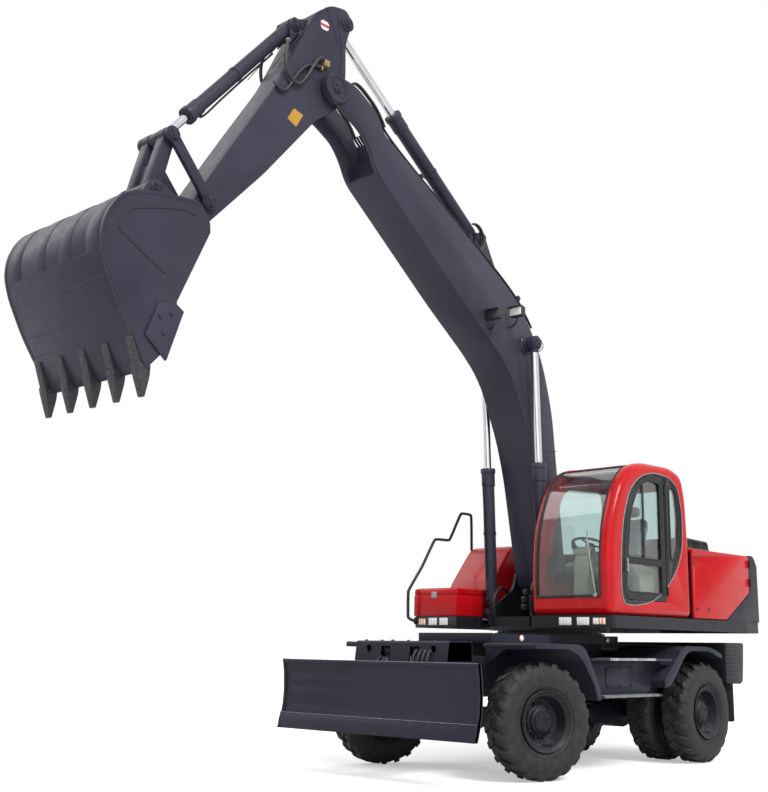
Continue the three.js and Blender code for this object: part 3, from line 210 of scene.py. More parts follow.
def enamelled_steel(name, paint, faded, rough, dust, gloss, coat=0.0):
    """Sprayed machine enamel on welded plate: broad drifts of tone, fine orange peel, and pale dust that
    settles on what faces up and gathers in specks."""
    material, tree, shader, place = new_finish(name)
    drift = ranged(tree, grain(tree, place, 900, 4), 0.38, 0.66, 0, 1)
    blotch = ranged(tree, grain(tree, place, 60, 5, 0.65), 0.4, 0.75, 0, 1)
    body = mixed(tree, drift, linear(paint), linear(faded))
    up = node(tree, "ShaderNodeSeparateXYZ",
            {0: node(tree, "ShaderNodeNewGeometry").outputs["Normal"]}).outputs["Z"]
    settled = ranged(tree, up, 0.2, 1.0, 0.015, dust)
    share = node(tree, "ShaderNodeMath", {0: settled, 1: blotch}, operation="MULTIPLY").outputs[0]
    tree.links.new(mixed(tree, share, body, linear("#8f8c88")), shader.inputs["Base Color"])
    tree.links.new(ranged(tree, blotch, 0, 1, rough - 0.05, rough + 0.12), shader.inputs["Roughness"])
    relief(tree, shader, grain(tree, place, 9, 2), 0.35, 0.5)
    shader.inputs["Specular IOR Level"].default_value = gloss
    shader.inputs["Coat Weight"].default_value = coat
    shader.inputs["Coat Roughness"].default_value = 0.08
    return material


def vulcanised_rubber():
    """Moulded carbon-black tyre rubber: matt, dusty grey on the tread's faces, with a fine mould texture."""
    material, tree, shader, place = new_finish("vulcanised_rubber")
    scuffed = ranged(tree, grain(tree, place, 45, 6, 0.7), 0.42, 0.72, 0, 1)
    two_tone(tree, shader, scuffed, "#17171a", "#35332f", (0.55, 0.85))
    shader.inputs["Specular IOR Level"].default_value = 0.35
    relief(tree, shader, grain(tree, place, 5, 4), 0.8, 0.6)
    return material


def hard_chrome():
    """Ground and chromed rod: a bright mirror with faint rings of polish and a film of oil."""
    material, tree, shader, place = new_finish("hard_chrome")
    film = grain(tree, place, 120, 3)
    tree.links.new(mixed(tree, film, linear("#dfe1e4"), linear("#b9bcc1")), shader.inputs["Base Color"])
    tree.links.new(ranged(tree, film, 0.3, 0.7, 0.07, 0.2), shader.inputs["Roughness"])
    shader.inputs["Metallic"].default_value = 1
    relief(tree, shader, grain(tree, place, 6, 2), 0.02, 0.3)
    return material


def rough_casting(name, paint, worn):
    """Sand-cast steel under a thin coat: pebbled by the mould, with bare grey on its high spots."""
    material, tree, shader, place = new_finish(name)
    worn_share = ranged(tree, grain(tree, place, 30, 6, 0.7), 0.5, 0.8, 0, 1)
    two_tone(tree, shader, worn_share, paint, worn, (0.6, 0.42))
    shader.inputs["Metallic"].default_value = 0.15
    relief(tree, shader, grain(tree, place, 8, 5), 1.2, 0.7)
    return material


def window_glass(name, tint, mirror):
    """Toughened float glass with a light tint: clear, with sharp reflections and a trace of dust."""
    material, tree, _, place = new_finish(name)
    film = ranged(tree, grain(tree, place, 200, 5), 0.4, 0.8, 0, 0.05)
    dust = node(tree, "ShaderNodeBsdfDiffuse", {"Color": linear("#c9ccd0")})
    gloss = node(tree, "ShaderNodeBsdfGlossy", {"Color": linear("#ffffff"), "Roughness": 0.02})
    through = node(tree, "ShaderNodeBsdfTransparent", {"Color": linear(tint)})
    slant = node(tree, "ShaderNodeLayerWeight", {"Blend": 0.5}).outputs["Facing"]
    edge_on = node(tree, "ShaderNodeMath", {0: slant, 1: 4.0}, operation="POWER").outputs[0]
    share = node(tree, "ShaderNodeMath", {0: edge_on, 1: 0.9, 2: mirror}, operation="MULTIPLY_ADD")
    clean = node(tree, "ShaderNodeMixShader", {0: share.outputs[0], 1: through.outputs[0],
            2: gloss.outputs[0]})
    dusty = node(tree, "ShaderNodeMixShader", {0: film, 1: clean.outputs[0], 2: dust.outputs[0]})
    out = tree.nodes["Material Output"]
    tree.links.new(dusty.outputs[0], out.inputs["Surface"])
    return material


def moulded_plastic(name, colour, shade, rough, grain_mm=3.0):
    """Injection-moulded ABS with a leathered mould face: an even colour, soft gloss and fine pebbling."""
    material, tree, shader, place = new_finish(name)
    drift = ranged(tree, grain(tree, place, 250, 4), 0.35, 0.7, 0, 1)
    two_tone(tree, shader, drift, colour, shade, (rough - 0.06, rough + 0.08))
    relief(tree, shader, grain(tree, place, grain_mm, 2), 0.3, 0.6)
    return material


def woven_seat_cloth():
    """Woven seat cloth under a clear dust bag: a fine diagonal weave, and creases in the film that are
    glossier and painted a pale grey as its sheen.
    """
    material, tree, shader, place = new_finish("woven_seat_cloth")
    turned = node(tree, "ShaderNodeMapping", {"Vector": place, "Rotation": (0.6, 0.4, 0.8)}).outputs[0]
    weave = node(tree, "ShaderNodeTexWave", {"Vector": turned, "Scale": 70, "Distortion": 2.5, "Detail": 2})
    crease_and_sheen = ranged(tree, grain(tree, place, 160, 5, 0.6), 0.45, 0.62, 0, 1)
    cloth = mixed(tree, weave.outputs["Fac"], linear("#54585f"), linear("#6c7077"))
    # The pale grey mixed in along the film's creases is painted sheen off the film.
    tree.links.new(mixed(tree, crease_and_sheen, cloth, linear("#9da2aa")), shader.inputs["Base Color"])
    tree.links.new(ranged(tree, crease_and_sheen, 0, 1, 0.6, 0.25), shader.inputs["Roughness"])
    shader.inputs["Sheen Weight"].default_value = 0.25
    relief(tree, shader, crease_and_sheen, 6, 0.7)
    return material


def bright_tread_plate():
    """Galvanised chequer plate: dull silver with raised lozenges about 30 mm long and grime between them."""
    material, tree, shader, place = new_finish("galvanised_tread_plate")
    leaning = node(tree, "ShaderNodeMapping", {"Vector": place, "Rotation": (0, 0, math.radians(45)),
            "Scale": (30, 60, 30)}).outputs[0]
    studs = node(tree, "ShaderNodeTexChecker", {"Vector": leaning, "Scale": 1.0}).outputs["Fac"]
    grime = ranged(tree, grain(tree, place, 70, 5, 0.7), 0.4, 0.75, 0, 1)
    plate = mixed(tree, studs, linear("#7c7f84"), linear("#c3c6ca"))
    tree.links.new(mixed(tree, grime, plate, linear("#4c4a46")), shader.inputs["Base Color"])
    shader.inputs["Metallic"].default_value = 0.7
    tree.links.new(ranged(tree, grime, 0, 1, 0.35, 0.6), shader.inputs["Roughness"])
    relief(tree, shader, studs, 2.0, 0.8)
    return material


def lamp_lens(name, colour, ribs_mm=14):
    """Moulded lamp lens: coloured polycarbonate with upright ribs pressed in behind a glossy face, and
    near-white bands on the ribs that are painted glints.
    """
    material, tree, shader, place = new_finish(name)
    ribs = node(tree, "ShaderNodeTexWave", {"Vector": place, "Scale": 110 / ribs_mm, "Distortion": 0.2},
            bands_direction="Y").outputs["Fac"]
    # The near-white bands mixed into the lens colour are painted glints of light on the ribs.
    tree.links.new(mixed(tree, ribs, linear(colour), linear("#f4efe6")), shader.inputs["Base Color"])
    shader.inputs["Roughness"].default_value = 0.1
    shader.inputs["Coat Weight"].default_value = 1.0
    relief(tree, shader, ribs, 1.5, 0.7)
    return material


def banded_film():
    """Self-adhesive reflective film: broad red and white bands about 30 mm deep, faintly scuffed."""
    material, tree, shader, place = new_finish("banded_reflective_film")
    bands = node(tree, "ShaderNodeTexWave", {"Vector": place, "Scale": 5.0},
            bands_direction="Z").outputs["Fac"]
    edge = ranged(tree, bands, 0.49, 0.51, 0, 1)
    scuffed = ranged(tree, grain(tree, place, 15, 4), 0.4, 0.7, 0, 0.25)
    film = mixed(tree, edge, linear("#b5213a"), linear("#e6e6ea"))
    tree.links.new(mixed(tree, scuffed, film, linear("#8d8890")), shader.inputs["Base Color"])
    shader.inputs["Roughness"].default_value = 0.3
    return material


def hose_rubber():
    """Wrapped hydraulic hose: black oil-proof rubber with the cloth-wrap pattern pressed in round it."""
    material, tree, shader, place = new_finish("wrapped_hose_rubber")
    scuffed = grain(tree, place, 25, 5)
    tree.links.new(mixed(tree, scuffed, linear("#141416"), linear("#2b2b2c")), shader.inputs["Base Color"])
    tree.links.new(ranged(tree, scuffed, 0.3, 0.7, 0.38, 0.6), shader.inputs["Roughness"])
    relief(tree, shader, grain(tree, place, 4, 3), 0.4, 0.6)
    return material


finish = {
    "slate_paint": enamelled_steel("slate_enamel_on_plate", "#383845", "#2c2c39", 0.4, 0.1, 0.12, 0.04),
    "dark_paint": enamelled_steel("dark_enamel_on_plate", "#292a36", "#21222c", 0.42, 0.14, 0.12, 0.04),
    "black_steel": enamelled_steel("black_enamel_on_tube", "#18191d", "#212228", 0.4, 0.12, 0.2),
    "door_paint": enamelled_steel("black_enamel_on_door_frame", "#0d0e11", "#131419", 0.25, 0.04, 0.3),
    "red_paint": enamelled_steel("red_enamel_on_pressed_steel", "#b80d15", "#a80b13",
                                0.22, 0.05, 0.18, 0.1),
    "rim_paint": enamelled_steel("grey_enamel_on_wheel_disc", "#25262d", "#1c1d22", 0.45, 0.3, 0.15),
    "engine_mass": rough_casting("engine_iron_casting", "#3a3b3c", "#5a5854"),
    "cast_steel": rough_casting("painted_steel_casting", "#292b33", "#55565a"),
    "tyre_rubber": vulcanised_rubber(),
    "chrome": hard_chrome(),
    "glass": window_glass("toughened_window_glass", "#e6efee", 0.05),
    "seat_cover": woven_seat_cloth(),
    "beige_plastic": moulded_plastic("beige_moulded_abs", "#b9ae99", "#a79c88", 0.5),
    "black_plastic": moulded_plastic("black_moulded_abs", "#1b1b1d", "#27272a", 0.5),
    "seal": moulded_plastic("extruded_window_rubber", "#101012", "#1a1a1c", 0.55, 2.0),
    "tread_plate": bright_tread_plate(),
    "amber": lamp_lens("amber_lamp_lens", "#e5780f"),
    "clear_lens": lamp_lens("clear_lamp_lens", "#d8dcdf"),
    "smoked_lens": moulded_plastic("unlit_lamp_lens", "#2c2d33", "#3b3c42", 0.15, 8.0),
    "brass": rough_casting("brass_hose_union", "#8b7650", "#c3ad7c"),
    "yellow_label": moulded_plastic("yellow_label_film", "#b98a2e", "#a87c26", 0.4),
    "striped_label": banded_film(),
    "red_lens": lamp_lens("red_lamp_lens", "#a5181b"),
    "hose": hose_rubber(),
    "zinc": rough_casting("zinc_plated_fitting", "#8f9092", "#b5b5b2"),
    # worn_steel is steel polished by soil on the blade's cutting edge, and a painted highlight along the
    # blade's top edge.
    "worn_steel": rough_casting("soil_polished_steel_and_painted_highlight", "#5c5e6a", "#8d8f98"),
    "bare_tooth": rough_casting("worn_tooth_casting", "#2b2c31", "#4c4c4f"),
}


def paint_the_frame():
    """Gives each carried-over node the finish of its slot."""
    for cad in frame["nodes"].values():
        for slot in cad.material_slots:
            slot.material = finish[slot.material.name.split(".")[0]]


# ------------------------------------------------------------------ shaping


def rounded(corners, steps=5):
    """An outline with its corners eased: a third number is how far along each side the curve starts."""
    points = []
    for i, corner in enumerate(corners):
        here = Vector(corner[:2])
        if len(corner) < 3:
            points.append(here)
            continue
        before, after = Vector(corners[i - 1][:2]) - here, Vector(corners[(i + 1) % len(corners)][:2]) - here
        reach = min(corner[2], 0.45 * before.length, 0.45 * after.length)
        start, end = here + before.normalized() * reach, here + after.normalized() * reach
        for step in range(steps + 1):
            t = step / steps
            points.append(start * (1 - t) ** 2 + here * 2 * t * (1 - t) + end * t * t)
    return points


def shrunk(corners, wall):
    """The same outline moved inwards by a wall's thickness."""
    area = sum(corners[i - 1][0] * c[1] - c[0] * corners[i - 1][1] for i, c in enumerate(corners))
    turn = -wall if area > 0 else wall
    moved = []
    for i, corner in enumerate(corners):
        here = Vector(corner[:2])
        into = (here - Vector(corners[i - 1][:2])).normalized()
        out = (Vector(corners[(i + 1) % len(corners)][:2]) - here).normalized()
        inward = Vector((into.y + out.y, -into.x - out.x)).normalized()
        share = turn / max(0.3, inward.dot(Vector((into.y, -into.x))))
        moved.append((here.x + inward.x * share, here.y + inward.y * share,
                max(0, (corner[2:] or (0,))[0] - wall)))
    return moved


def edit_all():
    bpy.ops.object.mode_set(mode="EDIT")
    bpy.ops.mesh.select_all(action="SELECT")


def apply_modifier(piece, kind, **settings):
    bpy.context.view_layer.objects.active = piece
    modifier = piece.modifiers.new(kind.lower(), kind)
    for name, value in settings.items():
        setattr(modifier, name, value)
    bpy.ops.object.modifier_apply(modifier=modifier.name)


def settle(piece):
    """Puts the piece's place into its mesh, so that its object lies at the origin, unturned."""
    bpy.ops.object.transform_apply(location=True, rotation=True, scale=True)
    return piece


def outline_of(name, places, fill):
    """A closed outline through the places given, as a face or as edges alone, open in edit mode."""
    clear_selection()
    bpy.ops.mesh.primitive_circle_add(vertices=len(places), fill_type=fill, location=(0, 0, 0))
    piece = bpy.context.object
    piece.name = name
    for vertex, place in zip(piece.data.vertices, places):
        vertex.co = place
    edit_all()
    return piece


def close_up(weld=None):
    """Merges doubles where asked, turns the edited mesh's faces outwards and leaves edit mode."""
    bpy.ops.mesh.select_all(action="SELECT")
    if weld:
        bpy.ops.mesh.remove_doubles(threshold=weld)
    bpy.ops.mesh.normals_make_consistent(inside=False)
    bpy.ops.object.mode_set(mode="OBJECT")


def stood(piece, centre, axis):
    """Stands a piece that was made along the vertical on its centre, along its own axis."""
    turn = Vector(axis).to_track_quat("Z", "Y").to_matrix().to_4x4()
    piece.matrix_world = Matrix.Translation(centre) @ turn
    return settle(piece)


def soften_edges(piece, width, segments=2, angle=35):
    if width:
        apply_modifier(piece, "BEVEL", width=width * MM, segments=segments, limit_method="ANGLE",
                angle_limit=math.radians(angle), use_clamp_overlap=True)
    bpy.ops.object.shade_smooth_by_angle(angle=math.radians(38))
    return piece


def cut_plate(name, corners, low, high, facing="side", edge=4, steps=5, segments=2):
    """A plate cut to an outline and given its thickness. A side view is x and z with its thickness across the
    machine, a plan is x and y with its thickness upwards, and a front view is y and z along the machine."""
    place, thickness = {"side": (lambda a, b: at(a, low, b), (0, 1, 0)), "plan": (lambda a, b: at(a, b,
            low), (0, 0, 1)), "front": (lambda a, b: at(low, a, b), (1, 0, 0))}[facing]
    piece = outline_of(name, [place(p.x, p.y) for p in rounded(corners, steps)], "NGON")
    move = [(high - low) * MM * t for t in thickness]
    bpy.ops.mesh.extrude_region_move(TRANSFORM_OT_translate={"value": move})
    close_up()
    return soften_edges(piece, edge, segments)


def block(name, low, high, edge=4, segments=2):
    """A rectangular piece between two corners, with eased edges."""
    clear_selection()
    size = [abs(h - l) * MM for l, h in zip(low, high)]
    middle = at(*((l + h) / 2 for l, h in zip(low, high)))
    bpy.ops.mesh.primitive_cube_add(size=1, location=middle, scale=size)
    piece = bpy.context.object
    piece.name = name
    settle(piece)
    return soften_edges(piece, edge, segments)


def turned(name, profile, centre, axis=(0, 1, 0), steps=48, smooth=38):
    """A section of radius and distance along the axis, closed and spun into a lathe-turned piece."""
    places = [(radius * MM, 0, along * MM) for radius, along in profile]
    piece = outline_of(name, places, "NOTHING")
    bpy.ops.mesh.spin(steps=steps, angle=math.tau, center=(0, 0, 0), axis=(0, 0, 1))
    close_up(0.00002)
    stood(piece, centre, axis)
    bpy.ops.object.shade_smooth_by_angle(angle=math.radians(smooth))
    return piece


def bar(name, start, end, radius, edge=3, sides_round=24):
    """A round bar between two points with chamfered ends."""
    length = (end - start).length / MM
    profile = [(0, 0), (radius - edge, 0), (radius, edge), (radius, length - edge), (radius - edge, length),
            (0, length)]
    return turned(name, profile, start, end - start, sides_round)


def pipe(name, points, radius, tight=4, rings=6):
    """A pipe or hose through points in the frame, swept along a smooth curve."""
    clear_selection()
    bpy.ops.curve.primitive_nurbs_path_add(location=(0, 0, 0))
    piece = bpy.context.object
    piece.name = name
    curve = piece.data
    curve.splines.clear()
    spline = curve.splines.new("NURBS")
    spline.points.add(len(points) - 1)
    for point, place in zip(spline.points, points):
        point.co = (*place, 1)
    spline.use_endpoint_u = True
    spline.order_u = min(tight, len(points))
    curve.resolution_u = rings
    curve.dimensions = "3D"
    curve.bevel_depth = radius * MM
    curve.bevel_resolution = 3
    curve.use_fill_caps = True
    bpy.ops.object.convert(target="MESH")
    piece = bpy.context.object
    edit_all()
    close_up(0.00001)
    bpy.ops.object.shade_smooth_by_angle(angle=math.radians(50))
    return piece


def joined(name, pieces):
    clear_selection()
    for piece in pieces:
        piece.select_set(True)
    bpy.context.view_layer.objects.active = pieces[0]
    if len(pieces) > 1:
        bpy.ops.object.join()
    result = bpy.context.object
    result.name = name
    result.data.name = name
    return result


def copied(piece, change):
    """A copy with its own mesh, moved by a matrix. A mirrored copy is turned the right way out again."""
    clear_selection()
    piece.select_set(True)
    bpy.context.view_layer.objects.active = piece
    bpy.ops.object.duplicate(linked=False)
    twin = bpy.context.object
    twin.matrix_world = change @ twin.matrix_world
    settle(twin)
    if change.determinant() < 0:
        edit_all()
        bpy.ops.mesh.flip_normals()
        bpy.ops.object.mode_set(mode="OBJECT")
    return twin


def tilted(piece, point, axis, degrees):
    """Turns a piece about a point and puts its new place into its mesh."""
    turn = Matrix.Rotation(math.radians(degrees), 4, Vector(axis))
    piece.matrix_world = Matrix.Translation(point) @ turn @ Matrix.Translation(-point)
    clear_selection()
    piece.select_set(True)
    bpy.context.view_layer.objects.active = piece
    return settle(piece)


def span(way, near, far, middle=0):
    """The lowest and highest place across the machine of a piece on one side of a middle plane."""
    return sorted((middle + way * near, middle + way * far))


def carve(piece, cutters):
    """Cuts each cutter's shape out of the piece and removes the cutters."""
    for cutter in cutters:
        apply_modifier(piece, "BOOLEAN", operation="DIFFERENCE", object=cutter, solver="EXACT")
        bpy.data.objects.remove(cutter)
    return piece


def fit(piece, body, coat, replaces=()):
    """Paints a finished piece and lets it ride on its body."""
    piece.data.materials.clear()
    piece.data.materials.append(finish[coat])
    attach(piece, body)
    if replaces:
        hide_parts(*replaces)
    return piece


def hexagons(name, places, axis, across=30, height=16):
    """Bolt heads, each with its washer, standing on a face at the places given."""
    axis = Vector(axis).normalized()
    r = across / 2
    first = None
    made = []
    for place in places:
        if first is None:
            washer = turned(name, [(0, 0), (r * 1.5, 0), (r * 1.5, 3), (0, 3)], place, axis, 20)
            head = turned(name, [(0, 3), (r * 1.12, 3), (r * 1.12, height * 0.8), (r * 0.9, height),
                    (0, height)], place, axis, 6, 20)
            first = joined(name, [washer, head])
            base = place
            made.append(first)
        else:
            made.append(copied(first, Matrix.Translation(place - base)))
    return joined(name, made)


# ------------------------------------------------------------------ wheels


TYRE_HALF, TYRE_CROWN = 164, 542.5


def tyre_lug(half):
    """One chunky lug, leaning from the crown down the shoulder, and trimmed to the tyre's rolling radius."""
    profile = [(505, 2), (543, 4), (540, half - 60), (514, half - 30), (480, half - 16), (452, half - 9),
            (432, half - 8), (452, half - 12), (500, half - 40)]
    start, width, lean = -31, 66, 0.186
    places = [(radius * MM, start * MM, along * MM) for radius, along in profile]
    lug = outline_of("lug", places, "NGON")
    bpy.ops.mesh.extrude_region_move(TRANSFORM_OT_translate={"value": (0, width * MM, 0)})
    close_up()
    crown = TYRE_CROWN * MM
    for vertex in lug.data.vertices:
        x, y = vertex.co.x, vertex.co.y
        angle = lean * vertex.co.z / (half * MM)
        vertex.co.x = x * math.cos(angle) - y * math.sin(angle)
        vertex.co.y = x * math.sin(angle) + y * math.cos(angle)
        reach = math.hypot(vertex.co.x, vertex.co.y)
        if reach > crown:
            vertex.co.x *= crown / reach
            vertex.co.y *= crown / reach
    return soften_edges(lug, 5, 2)


def tyre(name, centre, axis):
    """A radial tyre: a bellied carcass, and chunky lugs that run from the crown down the shoulder."""
    half = TYRE_HALF
    flank = [(262, half - 52), (290, half - 30), (330, half - 12), (395, half - 2), (450, half - 8),
            (492, half - 22), (512, half - 44), (520, half - 90), (522, 0)]
    back = [(r, -a) for r, a in flank[-2::-1]]
    bore = [(262, -half + 92), (500, -half + 70), (500, half - 70), (262, half - 92)]
    ring = turned(name, flank + back + bore, Vector((0, 0, 0)), (0, 0, 1), 60)
    beads = [turned(name, [(r, side * (half - 16)), (r + 5, side * (half - 7)), (r + 16, side * (half - 7)),
            (r + 20, side * (half - 16))], Vector((0, 0, 0)), (0, 0, 1), 60) for r in (318, 368)
            for side in (1, -1)]
    first = tyre_lug(half)
    count = 21
    lugs = [first] + [copied(first, Matrix.Rotation(math.tau * n / count, 4, "Z")) for n in range(1, count)]
    row = joined(name, lugs)
    other = copied(row, Matrix.Rotation(math.pi / count, 4, "Z") @ Matrix.Scale(-1, 4, Vector((0, 0, 1))))
    piece = joined(name, [ring, *beads, row, other])
    return stood(piece, centre, axis)


def rim(name, centre, outward):
    """A pressed wheel: a rolled lip, a deep dish with a ring of nuts, and a domed hub cap."""
    half = TYRE_HALF
    section = [(240, half - 34), (262, half - 46), (286, half - 12), (280, half - 8), (272, half - 14),
            (250, half - 30), (236, half - 34), (222, 60), (205, 26), (168, 14), (168, -2), (214, 8),
            (236, 40), (244, -half + 40), (286, -half + 12), (282, -half + 8), (262, -half + 46),
            (256, half - 48)]
    parts = [turned(name, section, Vector((0, 0, 0)), (0, 0, 1), 48)]
    hub = [(0, -12), (170, -12), (170, 14), (150, 22), (146, 40), (128, 48), (122, 70), (100, 84), (92, 98),
            (40, 104), (34, 98), (0, 98)]
    parts.append(turned(name, hub, Vector((0, 0, 0)), (0, 0, 1), 40))
    ring = [Vector((0.155 * math.cos(a), 0.155 * math.sin(a), 0.016)) for a in (math.tau * n / 10
            for n in range(10))]
    parts.append(hexagons(name, ring, (0, 0, 1), 28, 24))
    drain = [Vector((0.066 * math.cos(a), 0.066 * math.sin(a), 0.099)) for a in (0.4, 2.5, 4.6)]
    parts.append(hexagons(name, drain, (0, 0, 1), 18, 8))
    piece = joined(name, parts)
    return stood(piece, centre, outward)


def build_wheels():
    for side, way in sides:
        steered = joints[f"front_wheel_{side}_roll"]
        centre, axis = Vector(steered["pos_m"]), Vector(steered["axis"]) * way
        body = f"front_wheel_{side}"
        fit(tyre(f"front_tyre_{side}_treaded", centre, axis), body, "tyre_rubber",
                [f"front_tyre_{side}"])
        fit(rim(f"front_rim_{side}_dished", centre, axis), body, "rim_paint",
                [f"front_rim_{side}"])
        hub_centre = Vector(joints[f"rear_wheels_{side}_roll"]["pos_m"])
        body = f"rear_wheels_{side}"
        out = Vector((0, way, 0))
        inner = hub_centre - out * 437 * MM
        outer_tyre = tyre(f"rear_outer_tyre_{side}_treaded", hub_centre, out)
        fit(outer_tyre, body, "tyre_rubber", [f"rear_outer_tyre_{side}"])
        fit(tyre(f"rear_inner_tyre_{side}_treaded", inner, out), body, "tyre_rubber",
                [f"rear_inner_tyre_{side}"])
        outer_rim = rim(f"rear_rim_{side}", hub_centre, out)
        inner_rim = rim(f"rear_inner_rim_{side}", inner, -out)
        spacer = bar("spacer", inner - out * 20 * MM, hub_centre, 168, 4, 40)
        fit(joined(f"rear_rims_{side}_dished", [outer_rim, inner_rim, spacer]), body, "rim_paint",
                [f"rear_rims_{side}"])


# ------------------------------------------------------------------ the cab

CAB_RIGHT, CAB_LEFT = 265, 1265
cab_side = [(692, 1552), (700, 2080, 300), (640, 2520, 200), (470, 2900, 160), (240, 3120, 120),
        (0, 3190, 120), (-600, 3202, 200), (-830, 3130, 120), (-905, 2860, 120), (-930, 2350, 100),
        (-930, 1552)]
door_outline = [(-400, 1712, 30), (-400, 3062, 20), (-119, 3076, 60), (127, 2985, 160), (345, 2677, 200),
        (436, 2191, 200), (450, 1790, 60), (380, 1712, 60)]
quarter_outline = [(-505, 2180, 30), (-505, 2990, 30), (-665, 2960, 80), (-715, 2640, 120),
        (-680, 2300, 100), (-590, 2165, 60)]
upper_pane = [(-318, 2150, 30), (-318, 2990, 40), (-110, 3008, 60), (92, 2936, 140), (285, 2650, 180),
        (362, 2190, 60), (345, 2150, 30)]
lower_pane = [(-318, 1795, 40), (-318, 2098, 30), (360, 2098, 30), (392, 1965, 60), (396, 1830, 60),
        (340, 1795, 40)]


def follow(corners, low, high, inside=0):
    """The part of the cab's front curve between two heights, moved inwards, as side-view points."""
    curve = rounded(shrunk(corners, inside) if inside else corners, 8)
    front = [p for p in curve if p.x > -480 and low <= p.y <= high]
    return [Vector((corners[0][0] + 3 - inside, low)), *sorted(front, key=lambda p: p.y)]


def build_cab_shell():
    """One pressed shell with soft shoulders, opened for the windscreen, the door and the other windows."""
    shell = cut_plate("cab_shell_pressed", cab_side, CAB_RIGHT, CAB_LEFT, edge=0, steps=8)
    apply_modifier(shell, "BEVEL", width=0.075, segments=6, limit_method="ANGLE",
            angle_limit=math.radians(60), use_clamp_overlap=True)
    hollow = cut_plate("hollow", shrunk(cab_side, 50), CAB_RIGHT + 50, CAB_LEFT - 50, edge=0, steps=8)
    screen_hole = cut_plate("screen_hole", [(150, 3300), (-250, 3110), (-180, 3040), (90, 2960),
            (340, 2760), (430, 2550), (500, 1720), (800, 1735), (800, 3300)], CAB_RIGHT + 72,
            CAB_LEFT - 118, edge=28, segments=4)
    door_hole = cut_plate("door_hole", door_outline, CAB_LEFT - 70, CAB_LEFT + 20, edge=0)
    quarter_hole = cut_plate("quarter_hole", quarter_outline, CAB_LEFT - 70, CAB_LEFT + 20, edge=0)
    right_hole = cut_plate("right_hole", [(380, 1900, 80), (330, 2420, 60), (150, 2860, 100),
            (20, 2960, 60), (-700, 2990, 80), (-740, 2120, 60), (-740, 1900, 60)], CAB_RIGHT - 20,
            CAB_RIGHT + 70, edge=0)
    rear_hole = block("rear_hole", (-960, CAB_RIGHT + 140, 2380), (-800, CAB_LEFT - 140, 2980), 0)
    carve(shell, [hollow, screen_hole, door_hole, quarter_hole, right_hole, rear_hole])
    soften_edges(shell, 3, 2, 50)
    fit(shell, "upper_structure", "red_paint", ["cab_shell"])


def band_round(name, corners, low, high, wide, edge=3):
    """A frame of one width that follows an outline."""
    outer = cut_plate(name, corners, low, high, edge=0)
    inner = cut_plate("inside", shrunk(corners, wide), low - 20, high + 20, edge=0)
    carve(outer, [inner])
    return soften_edges(outer, edge, 2, 50)


def build_cab_glass():
    """Windscreen that follows the cab's front up to the roof, with its rubber, and the fixed side panes."""
    curve_out, curve_in = follow(cab_side, 1745, 3150, 14), follow(cab_side, 1745, 3150, 20)
    left, right = CAB_LEFT - 122, CAB_RIGHT + 76
    outline = [(p.x, p.y) for p in curve_out] + [(p.x, p.y) for p in reversed(curve_in)]
    glass = cut_plate("windscreen_pane", outline, right, left, edge=0)
    fit(glass, "upper_structure", "glass", ["windscreen"])
    wide = [(p.x + 4, p.y) for p in follow(cab_side, 1745, 3150, 0)]
    deep = [(p.x, p.y) for p in follow(cab_side, 1745, 3150, 26)]
    strip = wide + list(reversed(deep))
    parts = [cut_plate("left_rubber", strip, left - 14, left + 8, edge=2), cut_plate("right_rubber", strip,
            right - 8, right + 14, edge=2)]
    foot, head = wide[0], wide[-1]
    parts.append(block("sill_rubber", (foot[0] - 22, right, foot[1] - 12), (foot[0] + 4, left,
            foot[1] + 14), 3))
    parts.append(block("head_rubber", (head[0] - 40, right, head[1] - 26), (head[0] - 4, left, head[1] - 4),
            3))
    fit(joined("windscreen_rubber", parts), "upper_structure", "seal")
    parts = [band_round("quarter_rubber", quarter_outline, CAB_LEFT - 22, CAB_LEFT + 6, 16)]
    fit(joined("quarter_window_rubber", parts), "upper_structure", "seal")
    pane = cut_plate("quarter_window_pane", shrunk(quarter_outline, 10), CAB_LEFT - 14, CAB_LEFT - 8,
            edge=0)
    fit(pane, "upper_structure", "glass")
    side_pane = cut_plate("right_window_pane", [(390, 1890, 80), (340, 2430, 60), (160, 2870, 100),
            (20, 2970, 60), (-710, 3000, 80), (-750, 2120, 60), (-750, 1890, 60)], CAB_RIGHT + 18,
            CAB_RIGHT + 24, edge=0)
    fit(side_pane, "upper_structure", "glass")
    rear = block("rear_window_pane", (-896, CAB_RIGHT + 136, 2376), (-890, CAB_LEFT - 136, 2984), 1)
    fit(rear, "upper_structure", "glass")


